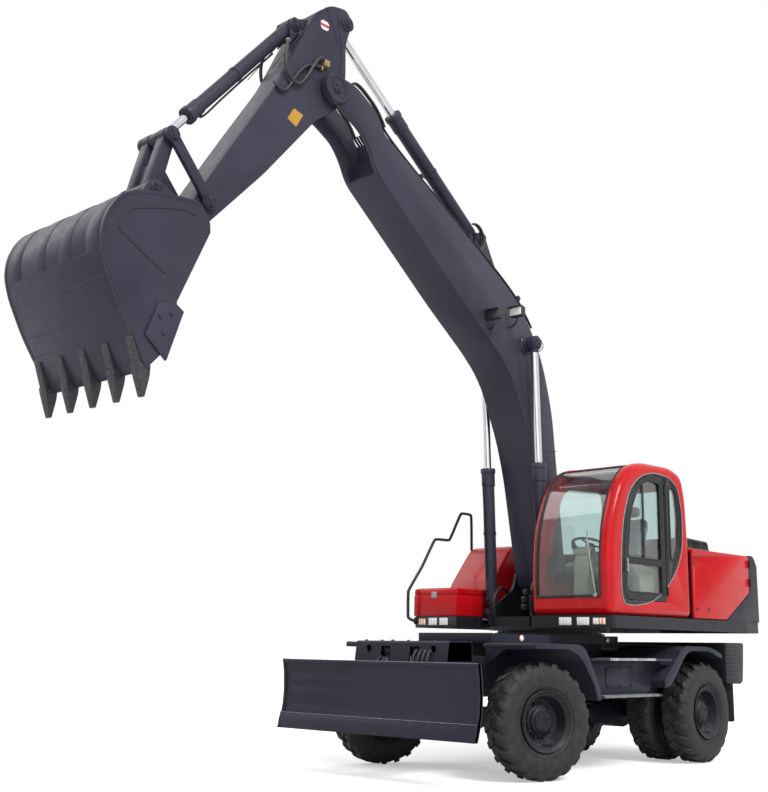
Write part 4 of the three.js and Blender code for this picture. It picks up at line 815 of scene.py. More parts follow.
def build_cab_door():
    """A black pressed door with an upper pane and a lower one, on two hinges, with a lever handle."""
    edge = shrunk(door_outline, 6)
    panel = cut_plate("door_panel", edge, CAB_LEFT - 38, CAB_LEFT + 4, edge=0, steps=8)
    holes = [cut_plate("hole", pane, CAB_LEFT - 90, CAB_LEFT + 60, edge=0, steps=8)
            for pane in (upper_pane, lower_pane)]
    carve(panel, holes)
    soften_edges(panel, 7, 3, 50)
    seals = [band_round("door_rubber", shrunk(pane, -2), CAB_LEFT - 4, CAB_LEFT + 8, 13)
            for pane in (upper_pane, lower_pane)]
    fit(joined("door_window_rubber", seals), "cab_door", "seal")
    hinges = []
    for z in (1830, 2920):
        hinges.append(bar("knuckle", at(-404, CAB_LEFT + 12, z - 45), at(-404, CAB_LEFT + 12, z + 45), 12,
                2))
        hinges.append(block("leaf", (-398, CAB_LEFT - 2, z - 40), (-320, CAB_LEFT + 10, z + 40), 3))
    fit(joined("cab_door_framed", [panel, *hinges]), "cab_door", "door_paint", ["cab_door"])
    for name, pane in (("upper", upper_pane), ("lower", lower_pane)):
        glass = cut_plate(f"door_{name}_pane", shrunk(pane, -6), CAB_LEFT - 20, CAB_LEFT - 15, edge=0,
                steps=8)
        fit(glass, "cab_door", "glass")
    handle = [bar("handle_post", at(392, CAB_LEFT - 5, z), at(392, CAB_LEFT + 22, z), 9, 2)
            for z in (2015, 2120)]
    grip = pipe("handle_grip", route((392, CAB_LEFT + 21, 2000), (393, CAB_LEFT + 23, 2040),
            (393, CAB_LEFT + 23, 2100), (392, CAB_LEFT + 21, 2135)), 8)
    fit(joined("door_lever_handle", [*handle, grip]), "cab_door", "zinc")
    slide = [block("window_runner", (10, CAB_LEFT - 14, 2150), (34, CAB_LEFT + 2, 2975), 2)]
    slide.append(block("window_catch", (-12, CAB_LEFT - 8, 2480), (10, CAB_LEFT + 6, 2560), 3))
    fit(joined("sliding_pane_stile", slide), "cab_door", "black_plastic")


def padded_slab(name, corners, low, high, middle_y):
    """A crowned upholstered form from a side view: full in the middle and drawn in at its corners."""
    piece = cut_plate(name, corners, low, high, edge=34, segments=3, steps=4)
    apply_modifier(piece, "REMESH", mode="VOXEL", voxel_size=0.012)
    half = (high - low) / 2 * MM
    for vertex in piece.data.vertices:
        across = (vertex.co.y - middle_y * MM) / half
        vertex.co.y -= 0.012 * across * (1 - abs(across))
    apply_modifier(piece, "SMOOTH", factor=0.6, iterations=12)
    return piece


def puff(piece, pressure=3.0, cap=0.010):
    """Fills the form by a short cloth simulation and keeps it close to the shape it was cut to."""
    rest = [vertex.co.copy() for vertex in piece.data.vertices]
    bpy.context.view_layer.objects.active = piece
    cloth = piece.modifiers.new("fill", "CLOTH")
    cloth.settings.use_pressure = True
    cloth.settings.uniform_pressure_force = pressure
    cloth.settings.effector_weights.gravity = 0
    cloth.settings.quality = 3
    cloth.collision_settings.use_collision = False
    cloth.point_cache.frame_start, cloth.point_cache.frame_end = 1, 12
    for frame_number in range(1, 13):
        bpy.context.scene.frame_set(frame_number)
    bpy.ops.object.modifier_apply(modifier="fill")
    for vertex, start in zip(piece.data.vertices, rest):
        moved = vertex.co - start
        if moved.length > cap:
            vertex.co = start + moved.normalized() * cap
    bpy.context.scene.frame_set(1)
    return piece


def build_seat():
    """A sprung seat under its dust cover: cushion, back with bolsters, head rest and arm rests."""
    y = 770
    forms = (("seat_cushion", [(-400, 1915, 40), (-410, 2010, 50), (-150, 2022, 60), (75, 2030, 60),
            (100, 1935, 40)], 528, 1012), ("seat_back", [(-418, 2020, 40), (-545, 2540, 60),
            (-530, 2640, 60), (-428, 2640, 60), (-395, 2540, 60), (-300, 2030, 40)], 546, 994),
            ("head_rest", [(-528, 2655, 30), (-530, 2770, 50), (-448, 2782, 50), (-430, 2665, 30)], 640,
            900),)
    for name, corners, low, high in forms:
        piece = puff(padded_slab(name, corners, low, high, y))
        clear_selection()
        piece.select_set(True)
        bpy.context.view_layer.objects.active = piece
        bpy.ops.object.shade_smooth()
        fit(piece, "upper_structure", "seat_cover", ["operator_seat"]
                if name == "seat_cushion" else [])
    base = block("seat_box", (-370, 650, 1608), (10, 890, 1760), 12)
    bellows = [block("bellows_fold", (-340 + n % 2 * 12, 670, 1760 + 36 * n), (-20 - n % 2 * 12, 870,
            1794 + 36 * n), 10) for n in range(4)]
    rests = [cut_plate("arm_rest", [(-360, 2150, 30), (-370, 2210, 30), (-60, 2225, 30), (-60, 2165, 30)],
            a, a + 60, edge=14) for a in (470, 1012)]
    fit(joined("seat_suspension_and_arm_rests", [base, *bellows, *rests]), "upper_structure",
            "black_plastic")


def build_controls():
    """Moulded pods for the steering column and the side console, the dark wheel, levers and pedals."""
    post = cut_plate("steering_pod", [(300, 1608), (330, 1850, 80), (325, 2060, 60), (262, 2200, 50),
            (390, 2245, 50), (485, 2150, 70), (500, 1900, 80), (520, 1608)], 676, 864, edge=26, segments=4)
    cap = cut_plate("dial_hood", [(352, 2225, 20), (392, 2290, 40), (470, 2240, 40), (462, 2180, 30)], 660,
            880, edge=16)
    fit(joined("steering_column_pod", [post, cap]), "upper_structure", "beige_plastic",
            ["steering_column"])
    centre = at(300, 770, 2296)
    tilt = Vector((math.sin(math.radians(-20)), 0, math.cos(math.radians(-20))))
    ring = [(190 + 14 * math.cos(a), 14 * math.sin(a)) for a in (math.tau * n / 12 for n in range(12))]
    wheel = [turned("rim", ring, centre, tilt, 48), turned("boss", [(0, -14), (46, -14), (52, 0), (40, 16),
            (0, 18)], centre, tilt, 32)]
    for angle in (90, 210, 330):
        along = tilt.to_track_quat("Z", "Y") @ Vector((math.cos(math.radians(angle)),
                math.sin(math.radians(angle)), 0))
        wheel.append(bar("spoke", centre + along * 0.04, centre + along * 0.182, 10, 2, 12))
    wheel.append(bar("shaft", centre - tilt * 0.13, centre, 22, 2))
    fit(joined("steering_wheel", wheel), "upper_structure", "black_plastic")
    pod = cut_plate("console_pod", [(-430, 1608), (-430, 2080, 60), (-200, 2120, 60), (40, 2150, 80),
            (190, 2130, 60), (175, 2010, 60), (-40, 1950, 80), (-60, 1608)], 345, 490, edge=22, segments=4)
    left_pod = cut_plate("left_console_pod", [(-430, 1608), (-430, 2060, 60), (20, 2120, 60),
            (60, 2050, 50), (-60, 1950, 60), (-80, 1608)], 1040, 1150, edge=20, segments=4)
    fit(joined("side_consoles", [pod, left_pod]), "upper_structure", "beige_plastic",
            ["control_console"])
    levers = []
    for y in (420, 1095):
        levers.append(pipe("lever", route((90, y, 2120), (96, y, 2190), (88, y, 2250), (96, y, 2300)), 8))
        levers.append(turned("knob", [(0, 0), (14, 4), (24, 30), (22, 70), (14, 92), (0, 98)],
                at(96, y, 2280), (0.1, 0, 1), 20))
    gaiters = [turned("gaiter", [(0, 0), (46, 0), (44, 12), (36, 14), (38, 26), (28, 30), (30, 42),
            (18, 46), (0, 48)], at(90, y, 2118), (0, 0, 1), 24) for y in (420, 1095)]
    pedals = [cut_plate("pedal", [(380, 1640, 8), (480, 1740, 10), (490, 1728, 8), (392, 1628, 8)], a,
            a + 70, edge=4) for a in (585, 905)]
    panel = cut_plate("monitor", [(470, 1990, 20), (430, 2200, 20), (452, 2205, 20), (498, 1990, 20)], 345,
            560, edge=8)
    mat = block("floor_mat", (-300, 340, 1608), (600, 1190, 1616), 3)
    fit(joined("levers_pedals_and_mat", [*levers, *gaiters, *pedals, panel, mat]), "upper_structure",
            "black_plastic")


def build_cab_trim():
    """Wiper, roof liner and hand grip."""
    blade = [pipe("wiper_arm", route((690, 1085, 1760), (716, 1060, 1960), (722, 1035, 2160),
            (716, 1020, 2300)), 7), block("wiper_rubber", (702, 1000, 1960), (712, 1012, 2420), 2),
            bar("wiper_spindle", at(668, 1085, 1752), at(715, 1085, 1752), 20, 3)]
    fit(joined("wiper", blade), "upper_structure", "zinc")
    liner = cut_plate("roof_liner", [(-800, 3080), (-600, 3142, 60), (0, 3132, 60), (60, 3108), (60, 3090),
            (0, 3112, 40), (-600, 3122, 60), (-780, 3066)], CAB_RIGHT + 60, CAB_LEFT - 60, edge=0)
    fit(liner, "upper_structure", "beige_plastic")
    rail = [pipe("grab_rail", route((560, CAB_LEFT - 96, 1830), (585, CAB_LEFT - 90, 1900),
            (560, CAB_LEFT - 90, 2300), (470, CAB_LEFT - 96, 2500)), 11)]
    fit(joined("inner_grab_rail", rail), "upper_structure", "black_plastic")


def build_cab():
    build_cab_shell()
    build_cab_glass()
    build_cab_door()
    build_seat()
    build_controls()
    build_cab_trim()


# ------------------------------------------------------------------ the upper body


def build_door_surround():
    """The black shaped panel round the cab's door and its small rear window, with a bright bead."""
    surround = [(484, 1786, 40), (486, 2095, 200), (430, 2532, 200), (280, 2870, 120), (60, 3030, 120),
            (-187, 3092, 160), (-520, 3080, 160), (-700, 2985, 120), (-782, 2674, 200), (-764, 2336, 160),
            (-659, 2110, 200), (-421, 1870, 200), (-101, 1705, 200), (240, 1662, 160), (440, 1672, 60)]
    panel = cut_plate("door_surround", surround, CAB_LEFT - 3, CAB_LEFT + 3, edge=0, steps=8)
    carve(panel, [cut_plate("doorway", shrunk(door_outline, 1), CAB_LEFT - 30, CAB_LEFT + 30, edge=0),
            cut_plate("quarter", shrunk(quarter_outline, 12), CAB_LEFT - 30, CAB_LEFT + 30, edge=0)])
    fit(panel, "upper_structure", "door_paint")
    bead = band_round("surround_bead", shrunk(surround, -7), CAB_LEFT - 2, CAB_LEFT + 5, 8, 2)
    fit(bead, "upper_structure", "zinc")


def build_hood():
    """The engine's top cover, with a dark louvred box for its cooling air."""
    top, sheet = 2332, 34
    lid_plan = [(-956, -634, 20), (-956, 1231, 20), (-2285, 1231, 20), (-2285, -1231, 20),
            (-970, -1231, 20), (-970, -634)]
    lid = cut_plate("engine_cover", lid_plan, top - sheet, top, "plan", 14, segments=3)
    seams = [block("rib", (-2200, y - 12, top - 3), (-1060, y + 12, top + 7), 4) for y in (-900, -300, 240,
            1080)]
    fit(joined("engine_hood_panelled", [lid, *seams]), "engine_hood", "red_paint",
            ["engine_hood"])
    box_side = [(-1950, top), (-1900, top + 150, 40), (-1330, top + 168, 40), (-1290, top)]
    vent = cut_plate("vent_box", box_side, 330, 960, edge=10, segments=3)
    slots = []
    for n in range(11):
        x = -1860 + n * 50
        slots.append(block("slot", (x, 900, top + 28), (x + 22, 990, top + 128), 0))
        slots.append(block("slot", (x, 400, top + 140), (x + 22, 890, top + 200), 0))
    carve(vent, [joined("slots", slots)])
    fit(vent, "engine_hood", "black_steel")
    vanes = [block("vane", (-1848 + n * 50, 890, top + 20), (-1836 + n * 50, 958, top + 130), 2)
            for n in range(10)]
    fit(joined("vent_vanes", vanes), "engine_hood", "door_paint")


def build_service_doors():
    """Engine bay doors with a raised edge, a recessed pull and two keyholes each."""
    outline = shrunk([(-960, 1558), (-960, 2332, 30), (-2305, 2328, 10), (-2285, 1884, 30), (-1712, 1558)],
            4)
    for side, way in sides:
        low, high = span(way, 1237, 1271)
        panel = cut_plate("door", [(*c[:2], max(14, c[2] if len(c) > 2 else 0)) for c in outline], low,
                high, edge=9, segments=3)
        marks = []
        pull_low, pull_high = span(way, 1262, 1300)
        carve(panel, [block("pull_recess", (-1010, pull_low, 2140), (-975, pull_high, 2250), 4)])
        fit(panel, f"service_door_{side}", "red_paint", [f"service_door_{side}"])
        for x in (-1040, -1293, -2035):
            marks.append(turned("keyhole", [(0, 0), (20, 0), (20, 5), (14, 8), (12, 5), (4, 5), (0, 5)],
                    at(x, way * 1270, 1664), (0, way, 0), 24))
        marks.append(block("pull", (-1004, span(way, 1264, 1270)[0], 2160), (-981, span(way, 1264, 1270)[1],
                2232), 3))
        for z in (2010, 2230):
            marks.append(bar("knuckle", at(-2309, way * 1283, z - 45), at(-2309, way * 1283, z + 45), 12,
                    2))
        fit(joined(f"service_door_{side}_fittings", marks), f"service_door_{side}", "black_plastic")


def build_counterweight():
    """The cast counterweight: a big rounded block with lifting lugs and red corner markers."""
    side = [(-1712, 1553), (-2290, 1880, 60), (-2310, 2332), (-2420, 2332, 60), (-2655, 2000, 260),
            (-2795, 1700, 260), (-2785, 1440, 60), (-2600, 1424, 40), (-1712, 1424)]
    piece = cut_plate("counterweight", side, -1271, 1271, edge=0, steps=8)
    corner_tools = []
    for way in (1, -1):
        plan = [(-2300, way * 1290), (-2500, way * 1272), (-2640, way * 1200), (-2740, way * 980),
                (-2796, way * 560), (-2900, way * 560), (-2900, way * 1400), (-2300, way * 1400)]
        corner_tools.append(cut_plate("corner", plan, 1300, 2500, "plan", 0))
    bay = block("bay", (-2280, -1181, 1552), (-1600, 1181, 2400), 0)
    under = block("under", (-2690, -1300, 1400), (-1600, 1300, 1552.5), 0)
    carve(piece, [*corner_tools, bay, under])
    soften_edges(piece, 16, 3, 40)
    fit(piece, "upper_structure", "dark_paint", ["counterweight"])
    marks = []
    for way in (1, -1):
        plate = block("marker", (-2703, way * 1095 - 110, 1610), (-2697, way * 1095 + 110, 1770), 2)
        marks.append(tilted(plate, at(-2698, way * 1095, 1690), (0, 0, 1), way * -26))
    fit(joined("rear_red_markers", marks), "upper_structure", "red_lens")
    lifting = []
    for way in (1, -1):
        lifting.append(turned("eye", [(26 + 10 * math.cos(a), 10 * math.sin(a)) for a in (math.tau * n / 10
                for n in range(10))], at(-2380, way * 700, 2350), (0, 1, 0), 28))
    fit(joined("lifting_eyes", lifting), "upper_structure", "cast_steel")


def build_right_side():
    """Fuel tank, tool box and its lid as pressed red panels with a filler cap, latches and non-slip tops."""
    tank_side = [(-930, 1553), (-930, 2400, 50), (-180, 2400, 120), (195, 1960, 120), (285, 1810, 80),
            (285, 1553)]
    tank = cut_plate("tank", tank_side, -1267, -640, edge=26, segments=4, steps=8)
    fit(tank, "upper_structure", "red_paint", ["fuel_tank"])
    cap = [turned("filler_neck", [(0, 0), (62, 0), (62, 20), (0, 20)], at(-640, -950, 2380), (0, 0, 1), 36),
            turned("filler_cap", [(0, 18), (70, 18), (74, 26), (74, 48), (66, 56), (20, 58), (0, 58)],
            at(-640, -950, 2342), (0, 0, 1), 36)]
    gauge = [block("sight_gauge", (-900, -1276, 1700), (-872, -1262, 2150), 4)]
    fit(joined("tank_fittings", [*cap, *gauge]), "upper_structure", "black_plastic")
    tub = cut_plate("box_tub", [(291, 1553), (291, 1787), (843, 1787), (850, 1553)], -1271, -640, edge=8,
            segments=2)
    carve(tub, [block("box_space", (321, -1241, 1572), (806, -670, 1800), 0)])
    fit(tub, "upper_structure", "red_paint", ["toolbox"])
    lid = cut_plate("box_lid", [(291, 1788), (291, 1860), (836, 1860, 40), (843, 1788)], -1271, -640,
            edge=12, segments=3)
    carve(lid, [block("lid_space", (321, -1241, 1770), (806, -670, 1832), 0)])
    fit(lid, "toolbox_lid", "red_paint", ["toolbox_lid"])
    tread = [block("tread", (330, -1230, 1858), (800, -700, 1864), 2)]
    fit(joined("tool_box_tread", tread), "toolbox_lid", "black_plastic")
    latch = [block("latch", (840, -1000, 1748), (856, -930, 1822), 4)]
    fit(joined("tool_box_latch", latch), "toolbox_lid", "zinc")


def build_handrail():
    """A bent tube rail that climbs beside the tool box and the tank, with flanged feet."""
    y = -1300
    path = route((851, -1225, 1500), (900, -1225, 1500), (916, -1232, 1506), (916, y + 8, 1530),
            (916, y, 1560), (916, y, 1815), (905, y, 1850), (690, y, 2110), (668, y, 2140), (470, y, 2440),
            (440, y, 2462), (210, y, 2462), (180, y, 2475), (-10, y, 2790), (-40, y, 2810), (-200, y, 2808),
            (-225, y, 2790), (-225, y, 2350), (-225, y + 12, 2335), (-225, -1266, 2335))
    rail = pipe("rail", path, 17, 3)
    feet = [block("foot", (845, -1262, 1462), (856, -1188, 1538), 3), block("foot", (-262, -1276, 2298),
            (-188, -1264, 2372), 3)]
    bolts = hexagons("bolts", [at(856, -1225 + dy, 1500 + dz) for dy in (-25, 25) for dz in (-25, 25)],
            (1, 0, 0), 14, 9)
    fit(joined("handrail_bent_tube", [rail, *feet, bolts]), "upper_structure", "black_steel",
            ["handrail"])


def headlamp(y_low, y_high):
    """One lamp set into the sill: housing and ribbed lens."""
    housing = block("housing", (672, y_low, 1440), (694, y_high, 1540), 6)
    lens = block("lens", (688, y_low + 8, 1450), (700, y_high - 8, 1530), 9, 3)
    return housing, lens


def build_sill_lamps():
    """Two headlamps and a white and amber indicator under the cab, and a lamp strip on the right."""
    housings, clear, amber = [], [], []
    for low, high in ((619, 788), (843, 1007)):
        housing, lens = headlamp(low, high)
        housings.append(housing)
        clear.append(lens)
    housings.append(block("indicator_box", (672, 1040, 1452), (692, 1202, 1528), 4))
    clear.append(block("indicator_clear", (688, 1046, 1458), (699, 1112, 1522), 5, 3))
    amber.append(block("indicator_amber", (688, 1116, 1458), (699, 1196, 1522), 5, 3))
    housings.append(block("strip", (838, -1221, 1438), (852, -643, 1545), 5))
    for low, high in ((-1040, -920), (-880, -760)):
        clear.append(block("strip_lamp", (848, low, 1452), (858, high, 1530), 8, 3))
    amber.append(block("strip_amber", (848, -1190, 1458), (857, -1090, 1522), 5, 3))
    fit(joined("lamp_housings", housings), "upper_structure", "black_plastic")
    fit(joined("clear_lamp_lenses", clear), "upper_structure", "clear_lens")
    fit(joined("amber_indicator_lenses", amber), "upper_structure", "amber")
    turret = []
    for way in (1, -1):
        for x in (1151, -423):
            turret.append(turned("side_marker", [(0, 0), (32, 0), (34, 8), (26, 16), (12, 19), (0, 19)],
                    at(x, way * 479, 1308), (0, way, 0), 28))
    fit(joined("side_marker_lamps", turret), "chassis", "amber")


def build_pump_side():
    """Hoses, pipes and valves in the gap between the cab and the tank, where the boom's foot stands."""
    hoses, metal = [], []
    random.seed(4)
    for n in range(4):
        y = 76 + n * 8
        lift = random.uniform(-40, 40)
        hoses.append(pipe("hose", route((430 - 36 * (n % 2), y, 1560), (470, y, 1700 + lift),
                (440, y, 1880 + lift), (330, y, 2030 + lift), (210, y, 2080), (120, y, 2000)), 11))
        metal.append(turned("ferrule", [(0, 0), (16, 0), (16, 34), (13, 40), (13, 54), (0, 54)],
                at(430 - 36 * (n % 2), y, 1556), (0.1, 0, 1), 12, 20))
    for n in range(2):
        y = -445 - n * 22
        hoses.append(pipe("hose", route((400, y, 1560), (440, y, 1700), (380, y, 1860), (240, y, 1920),
                (150, y, 1820)), 10))
    for x, z in ((500, 1620), (500, 1700), (470, 1780)):
        metal.append(block("valve", (x, 64, z), (x + 90, 108, z + 62), 5))
        metal.append(bar("plug", at(x + 90, 86, z + 30), at(x + 112, 86, z + 30), 13, 2, 6))
    fit(joined("foot_hoses", hoses), "upper_structure", "hose")
    fit(joined("valve_bank_and_ferrules", metal), "upper_structure", "cast_steel")


def build_upper_body():
    build_door_surround()
    build_hood()
    build_service_doors()
    build_counterweight()
    build_right_side()
    build_handrail()
    build_sill_lamps()
    build_pump_side()


# ------------------------------------------------------------------ the chassis


def build_fenders():
    """Pressed fenders that arch over the wheels, each with a thick rolled lip along its outer edge."""
    for side, way in sides:
        front = [(1940, 1210), (1940, 1256, 20), (1160, 1250, 120), (905, 845, 60), (889, 722), (940, 722),
                (994, 862, 90), (1200, 1130, 140), (1408, 1210, 140)]
        rear = [(-337, 823), (-318, 898, 30), (-739, 1256, 90), (-1330, 1250, 120), (-1572, 1176, 20),
                (-1590, 1130), (-1470, 1160, 60), (-1300, 1210, 120), (-820, 1210, 120), (-450, 850, 50)]
        for name, corners in (("front", front), ("rear", rear)):
            low, high = span(way, 431, 1246)
            shell = cut_plate(name, corners, low, high, edge=7, segments=3, steps=8)
            if name == "front":
                low, high = span(way, 400, 645)
                carve(shell, [block("corner", (1700, low, 1000), (1960, high, 1300), 0)])
            low, high = span(way, 1226, 1250)
            lip = cut_plate("lip", shrunk(corners, -3), low, high, edge=8, segments=3, steps=8)
            level, places = (1252, (1300, 1560, 1800)) if name == "front" else (1253, (-850, -1100))
            parts = [shell, lip, hexagons("bolts", [at(x, way * 1100, level) for x in places], (0, 0, 1),
                    22, 9)]
            if name == "front":
                brace = [(646, 1250), (646, 1070, 10), (700, 1090, 40), (850, 1196, 60), (1246, 1206),
                        (1246, 1250)]
                parts.append(cut_plate("brace", [(way * y, z, *r) for y, z, *r in brace], 1908, 1937,
                        "front", 4))
                inner = [(1700, 1250), (1936, 1250), (1936, 1070, 10), (1880, 1100, 40), (1760, 1206, 40),
                        (1700, 1206)]
                parts.append(cut_plate("cheek", inner, *span(way, 646, 664), edge=4))
            fit(joined(f"{name}_fender_{side}_pressed", parts), "chassis", "dark_paint",
                    [f"{name}_fender_{side}"])


def build_side_steps():
    """Boxes between the wheels with tread-plate steps above and below, and a raised hatch with its bolts."""
    for side, way in sides:
        lean = (-739 + 320) / (1256 - 898)
        body = [(-240, 760), (-304, 820), (-304, 898), (-304 + lean * 200, 1098), (880, 1098), (860, 760)]
        low, high = span(way, 431, 1090)
        box = cut_plate("box", body, low, high, edge=6)
        low, high = span(way, 1086, 1100)
        hatch = [cut_plate("hatch", [(60, 830, 20), (60, 1040, 20), (560, 1040, 20), (560, 830, 20)], low,
                high, edge=4)]
        hatch += [hexagons("bolts", [at(x, way * 1099, z) for x in (90, 310, 530) for z in (852, 1018)],
                (0, way, 0), 20, 9)]
        fit(joined(f"side_steps_{side}_box", [box, *hatch]), "chassis", "dark_paint",
                [f"side_steps_{side}"])
        for name, x_low, x_high, z in (("upper", -488, 1035, 1098), ("lower", -270, 876, 736)):
            low, high = span(way, 471, 1250)
            tray = block("tray", (x_low, low, z), (x_high, high, z + 24), 5)
            low, high = span(way, 1092, 1243)
            inner_low, inner_high = (x_low + 330, x_high - 330) if name == "upper" else (x_low + 60,
                    x_high - 60)
            tread = block("tread", (inner_low, low, z + 22), (inner_high, high, z + 28), 2)
            face_low, face_high = span(way, 1246, 1251)
            edge = block("tread_edge", (inner_low, face_low, z + 3), (inner_high, face_high, z + 26), 1)
            fit(tray, "chassis", "dark_paint")
            fit(joined(f"{name}_step_tread_{side}", [tread, edge]), "chassis", "tread_plate")


def build_rear_box():
    """The box behind the rear wheels, with ribbed black outer faces, mudflaps and tail lamps."""
    side_view = [(-2136, 838, 30), (-2190, 868, 30), (-2236, 1306, 30), (-1790, 1306, 20), (-1790, 846, 30)]
    box = cut_plate("box", side_view, -1187, 1187, edge=8, segments=3)
    carve(box, [block("saddle", (-2300, -431, 700), (-1660, 431, 1131), 0)])
    ribs = []
    for way in (1, -1):
        low, high = span(way, 1180, 1189)
        for n in range(9):
            z = 880 + n * 46
            ribs.append(block("rib", (-2196 + (n < 2) * 20, low, z), (-1806, high, z + 24), 3))
    fit(joined("rear_stowage_box_ribbed", [box, *ribs]), "chassis", "black_steel",
            ["rear_stowage_box"])
    lamps, flaps = [], []
    for way in (1, -1):
        lamps.append(block("tail_lamp", (-2244, way * 1000 - 90, 1120), (-2222, way * 1000 + 90, 1210), 5))
        flap = cut_plate("mudflap", [(way * 470, 850), (way * 1205, 850), (way * 1205, 420, 30),
                (way * 470, 420, 30)], -1905, -1893, "front", 2)
        flaps.append(flap)
        flaps.append(block("flap_bar", (-1896, span(way, 470, 1205)[0], 800),
                (-1880, span(way, 470, 1205)[1], 850), 2))
    fit(joined("tail_lamps", lamps), "chassis", "red_lens")
    fit(joined("rear_mudflaps", flaps), "chassis", "hose")


def build_chassis_fittings():
    """Plates, bolts, pipes and grease lines on the frame and the turntable."""
    ring = [at(560 * math.cos(a), 560 * math.sin(a), 1376) for a in (math.tau * n / 28 for n in range(28))]
    fit(hexagons("slew_ring_bolts", ring, (0, 0, 1), 28, 18), "chassis", "cast_steel")
    deck = [block("deck_edge", (1600, -482, 1258), (1644, 482, 1356), 4), block("deck_edge",
            (-644, -482, 1258), (-600, 482, 1356), 4)]
    for way in (1, -1):
        low, high = span(way, 440, 484)
        deck.append(block("deck_side", (-640, low, 1258), (1640, high, 1270), 3))
    fit(joined("turntable_deck_edges", deck), "chassis", "dark_paint")
    lines = []
    for n in range(4):
        y = 210 + n * 60
        lines.append(pipe("line", route((2440, y, 1180), (2500, y, 1130), (2520, y + 10, 1010),
                (2440, y, 900), (2330, y - 10, 880)), 11))
    for way in (1, -1):
        lines.append(pipe("line", route((2500, way * 190, 1120), (2560, way * 250, 1060), (2580, way * 250,
                960), (2480, way * 236, 900)), 9))
    fit(joined("blade_hoses", lines), "chassis", "hose")


def build_nose():
    """The folded guard over the blade's cylinders, with bolt heads and two blind lifting eyes."""
    side = [(2080, 1069), (2080, 1266, 30), (2428, 1266, 40), (2462, 1069)]
    guard = cut_plate("guard", side, -600, 600, edge=9, segments=3)
    tools = [cut_plate("under", [(2104, 1000), (2104, 1242, 20), (2408, 1242, 20), (2441, 1000)], -576, 576,
            edge=0)]
    for way in (1, -1):
        tools.append(block("notch", (2375, way * 190 - 62, 1000), (2490, way * 190 + 62, 1215), 0))
        tools.append(turned("eye", [(0, 0), (36, 0), (36, 120), (0, 120)], at(2370, way * 423, 1190),
                (1, 0, 0), 32))
    tools.append(block("seat", (2070, -431, 1030), (2300.5, 431, 1131), 0))
    carve(guard, tools)
    rims = [turned("eye_rim", [(36, 0), (46, 0), (46, 6), (40, 9), (36, 6)], at(2441, way * 423, 1190),
            (0.985, 0, 0.17), 32) for way in (1, -1)]
    bolts = hexagons("bolts", [at(x, y, 1266) for x in (2130, 2360) for y in (-540, -180, 180, 540)],
            (0, 0, 1), 26, 11)
    fit(joined("nose_guard_folded", [guard, *rims, bolts]), "chassis", "dark_paint")


# ------------------------------------------------------------------ the dozer blade


def build_blade():
    """A rolled mouldboard with stiffened edges, a cutting edge, and pads on its top."""
    face = [(2817, 1072), (2798, 960, 60), (2789, 780, 160), (2802, 620, 120), (2835, 500, 60), (2868, 405)]
    front = rounded(face, 6)
    skin = [(p.x, p.y) for p in front] + [(p.x - 30, p.y) for p in reversed(front)]
    board = cut_plate("board", skin, -1268, 1268, edge=3)
    parts = [board]
    parts.append(block("top_rail", (2770, -1268, 1040), (2826, 1268, 1074), 8, 3))
    for y in (-1268, 1234):
        rim = [(p.x + 12, p.y) for p in front] + [(p.x - 46, p.y) for p in reversed(front)]
        parts.append(cut_plate("end_plate", rim, y, y + 34, edge=3))
    parts.append(cut_plate("cutting_edge", [(2822, 552), (2840, 556), (2866, 470), (2868, 405), (2850, 405),
            (2838, 490)], -1266, 1266, edge=2))
    for y in (-560, 480):
        parts.append(block("top_pad", (2700, y, 1050), (2822, y + 240, 1073), 8, 3))
    spine = cut_plate("spine", [(2700, 860, 20), (2768, 866), (2764, 640), (2700, 600, 20)], -530, 530,
            edge=6)
    for n in range(8):
        y = -1100 + n * 314
        parts.append(cut_plate("rib", [(2760, 1040), (2785, 1040), (2762, 860), (2760, 640), (2800, 470),
                (2740, 560), (2712, 700), (2712, 880)], y - 8, y + 8, edge=2))
    fit(joined("blade_mouldboard", [*parts, spine]), "dozer_blade", "dark_paint")
    # Two pale bars: the one on the cutting edge is steel polished by soil, the one along the top rail's edge
    # is a painted highlight.
    worn = [bar("worn_and_highlit_edge", at(2842, -1266, 556), at(2842, 1266, 556), 4, 1, 8), bar("worn_and_highlit_edge",
            at(2824, -1266, 1073), at(2824, 1266, 1073), 4, 1, 8)]
    fit(joined("blade_worn_and_highlit_edges", worn), "dozer_blade", "worn_steel")


def build_chassis():
    build_fenders()
    build_side_steps()
    build_rear_box()
    build_chassis_fittings()
    build_nose()
    build_blade()


# ------------------------------------------------------------------ the arm

FOOT_PIN, TIP_PIN, BUCKET_PIN = pin("boom_lift"), pin("stick_swing"), pin("bucket_curl")
BOOM_RAM_BASE, STICK_RAM_BASE = pin("boom_cylinders"), pin("stick_cylinder_pivot")
BUCKET_RAM_BASE, BLADE_RAM_BASE = pin("bucket_cylinder_pivot"), pin("blade_cylinder_left")
GUIDE_PIN, KNEE_PIN = pin("guide_link_pivot"), pin("bucket_link_pivot")
BOOM_ROD_EYE, STICK_ROD_EYE, BLADE_ROD_EYE, LINK_EYE = (455, 4600), (3330, 7440), (2690, 740), (5570, 4965)


def seam(name, outline, y, radius=5, smooth=False):
    """A weld bead laid on a side face, along a line drawn in the side view."""
    return pipe(name, [at(x, y, z) for x, z in outline], radius, 3 if smooth else 2)


def pin_cap(name, place, way, radius=62):
    """The retaining plate over a pin's end: a stepped disc with three bolts and a grease nipple."""
    cap = turned(name, [(0, 0), (radius, 0), (radius, 12), (radius - 8, 18), (radius * 0.5, 20),
            (radius * 0.45, 26), (0, 26)], place, (0, way, 0), 36)
    lift = Vector((0, way, 0)) * 16 * MM
    ring = [place + lift + Vector((math.cos(a), 0, math.sin(a))) * radius * 0.68 * MM
            for a in (math.tau * n / 3 + 0.5 for n in range(3))]
    return joined(name, [cap, hexagons(name, ring, (0, way, 0), 22, 13)])


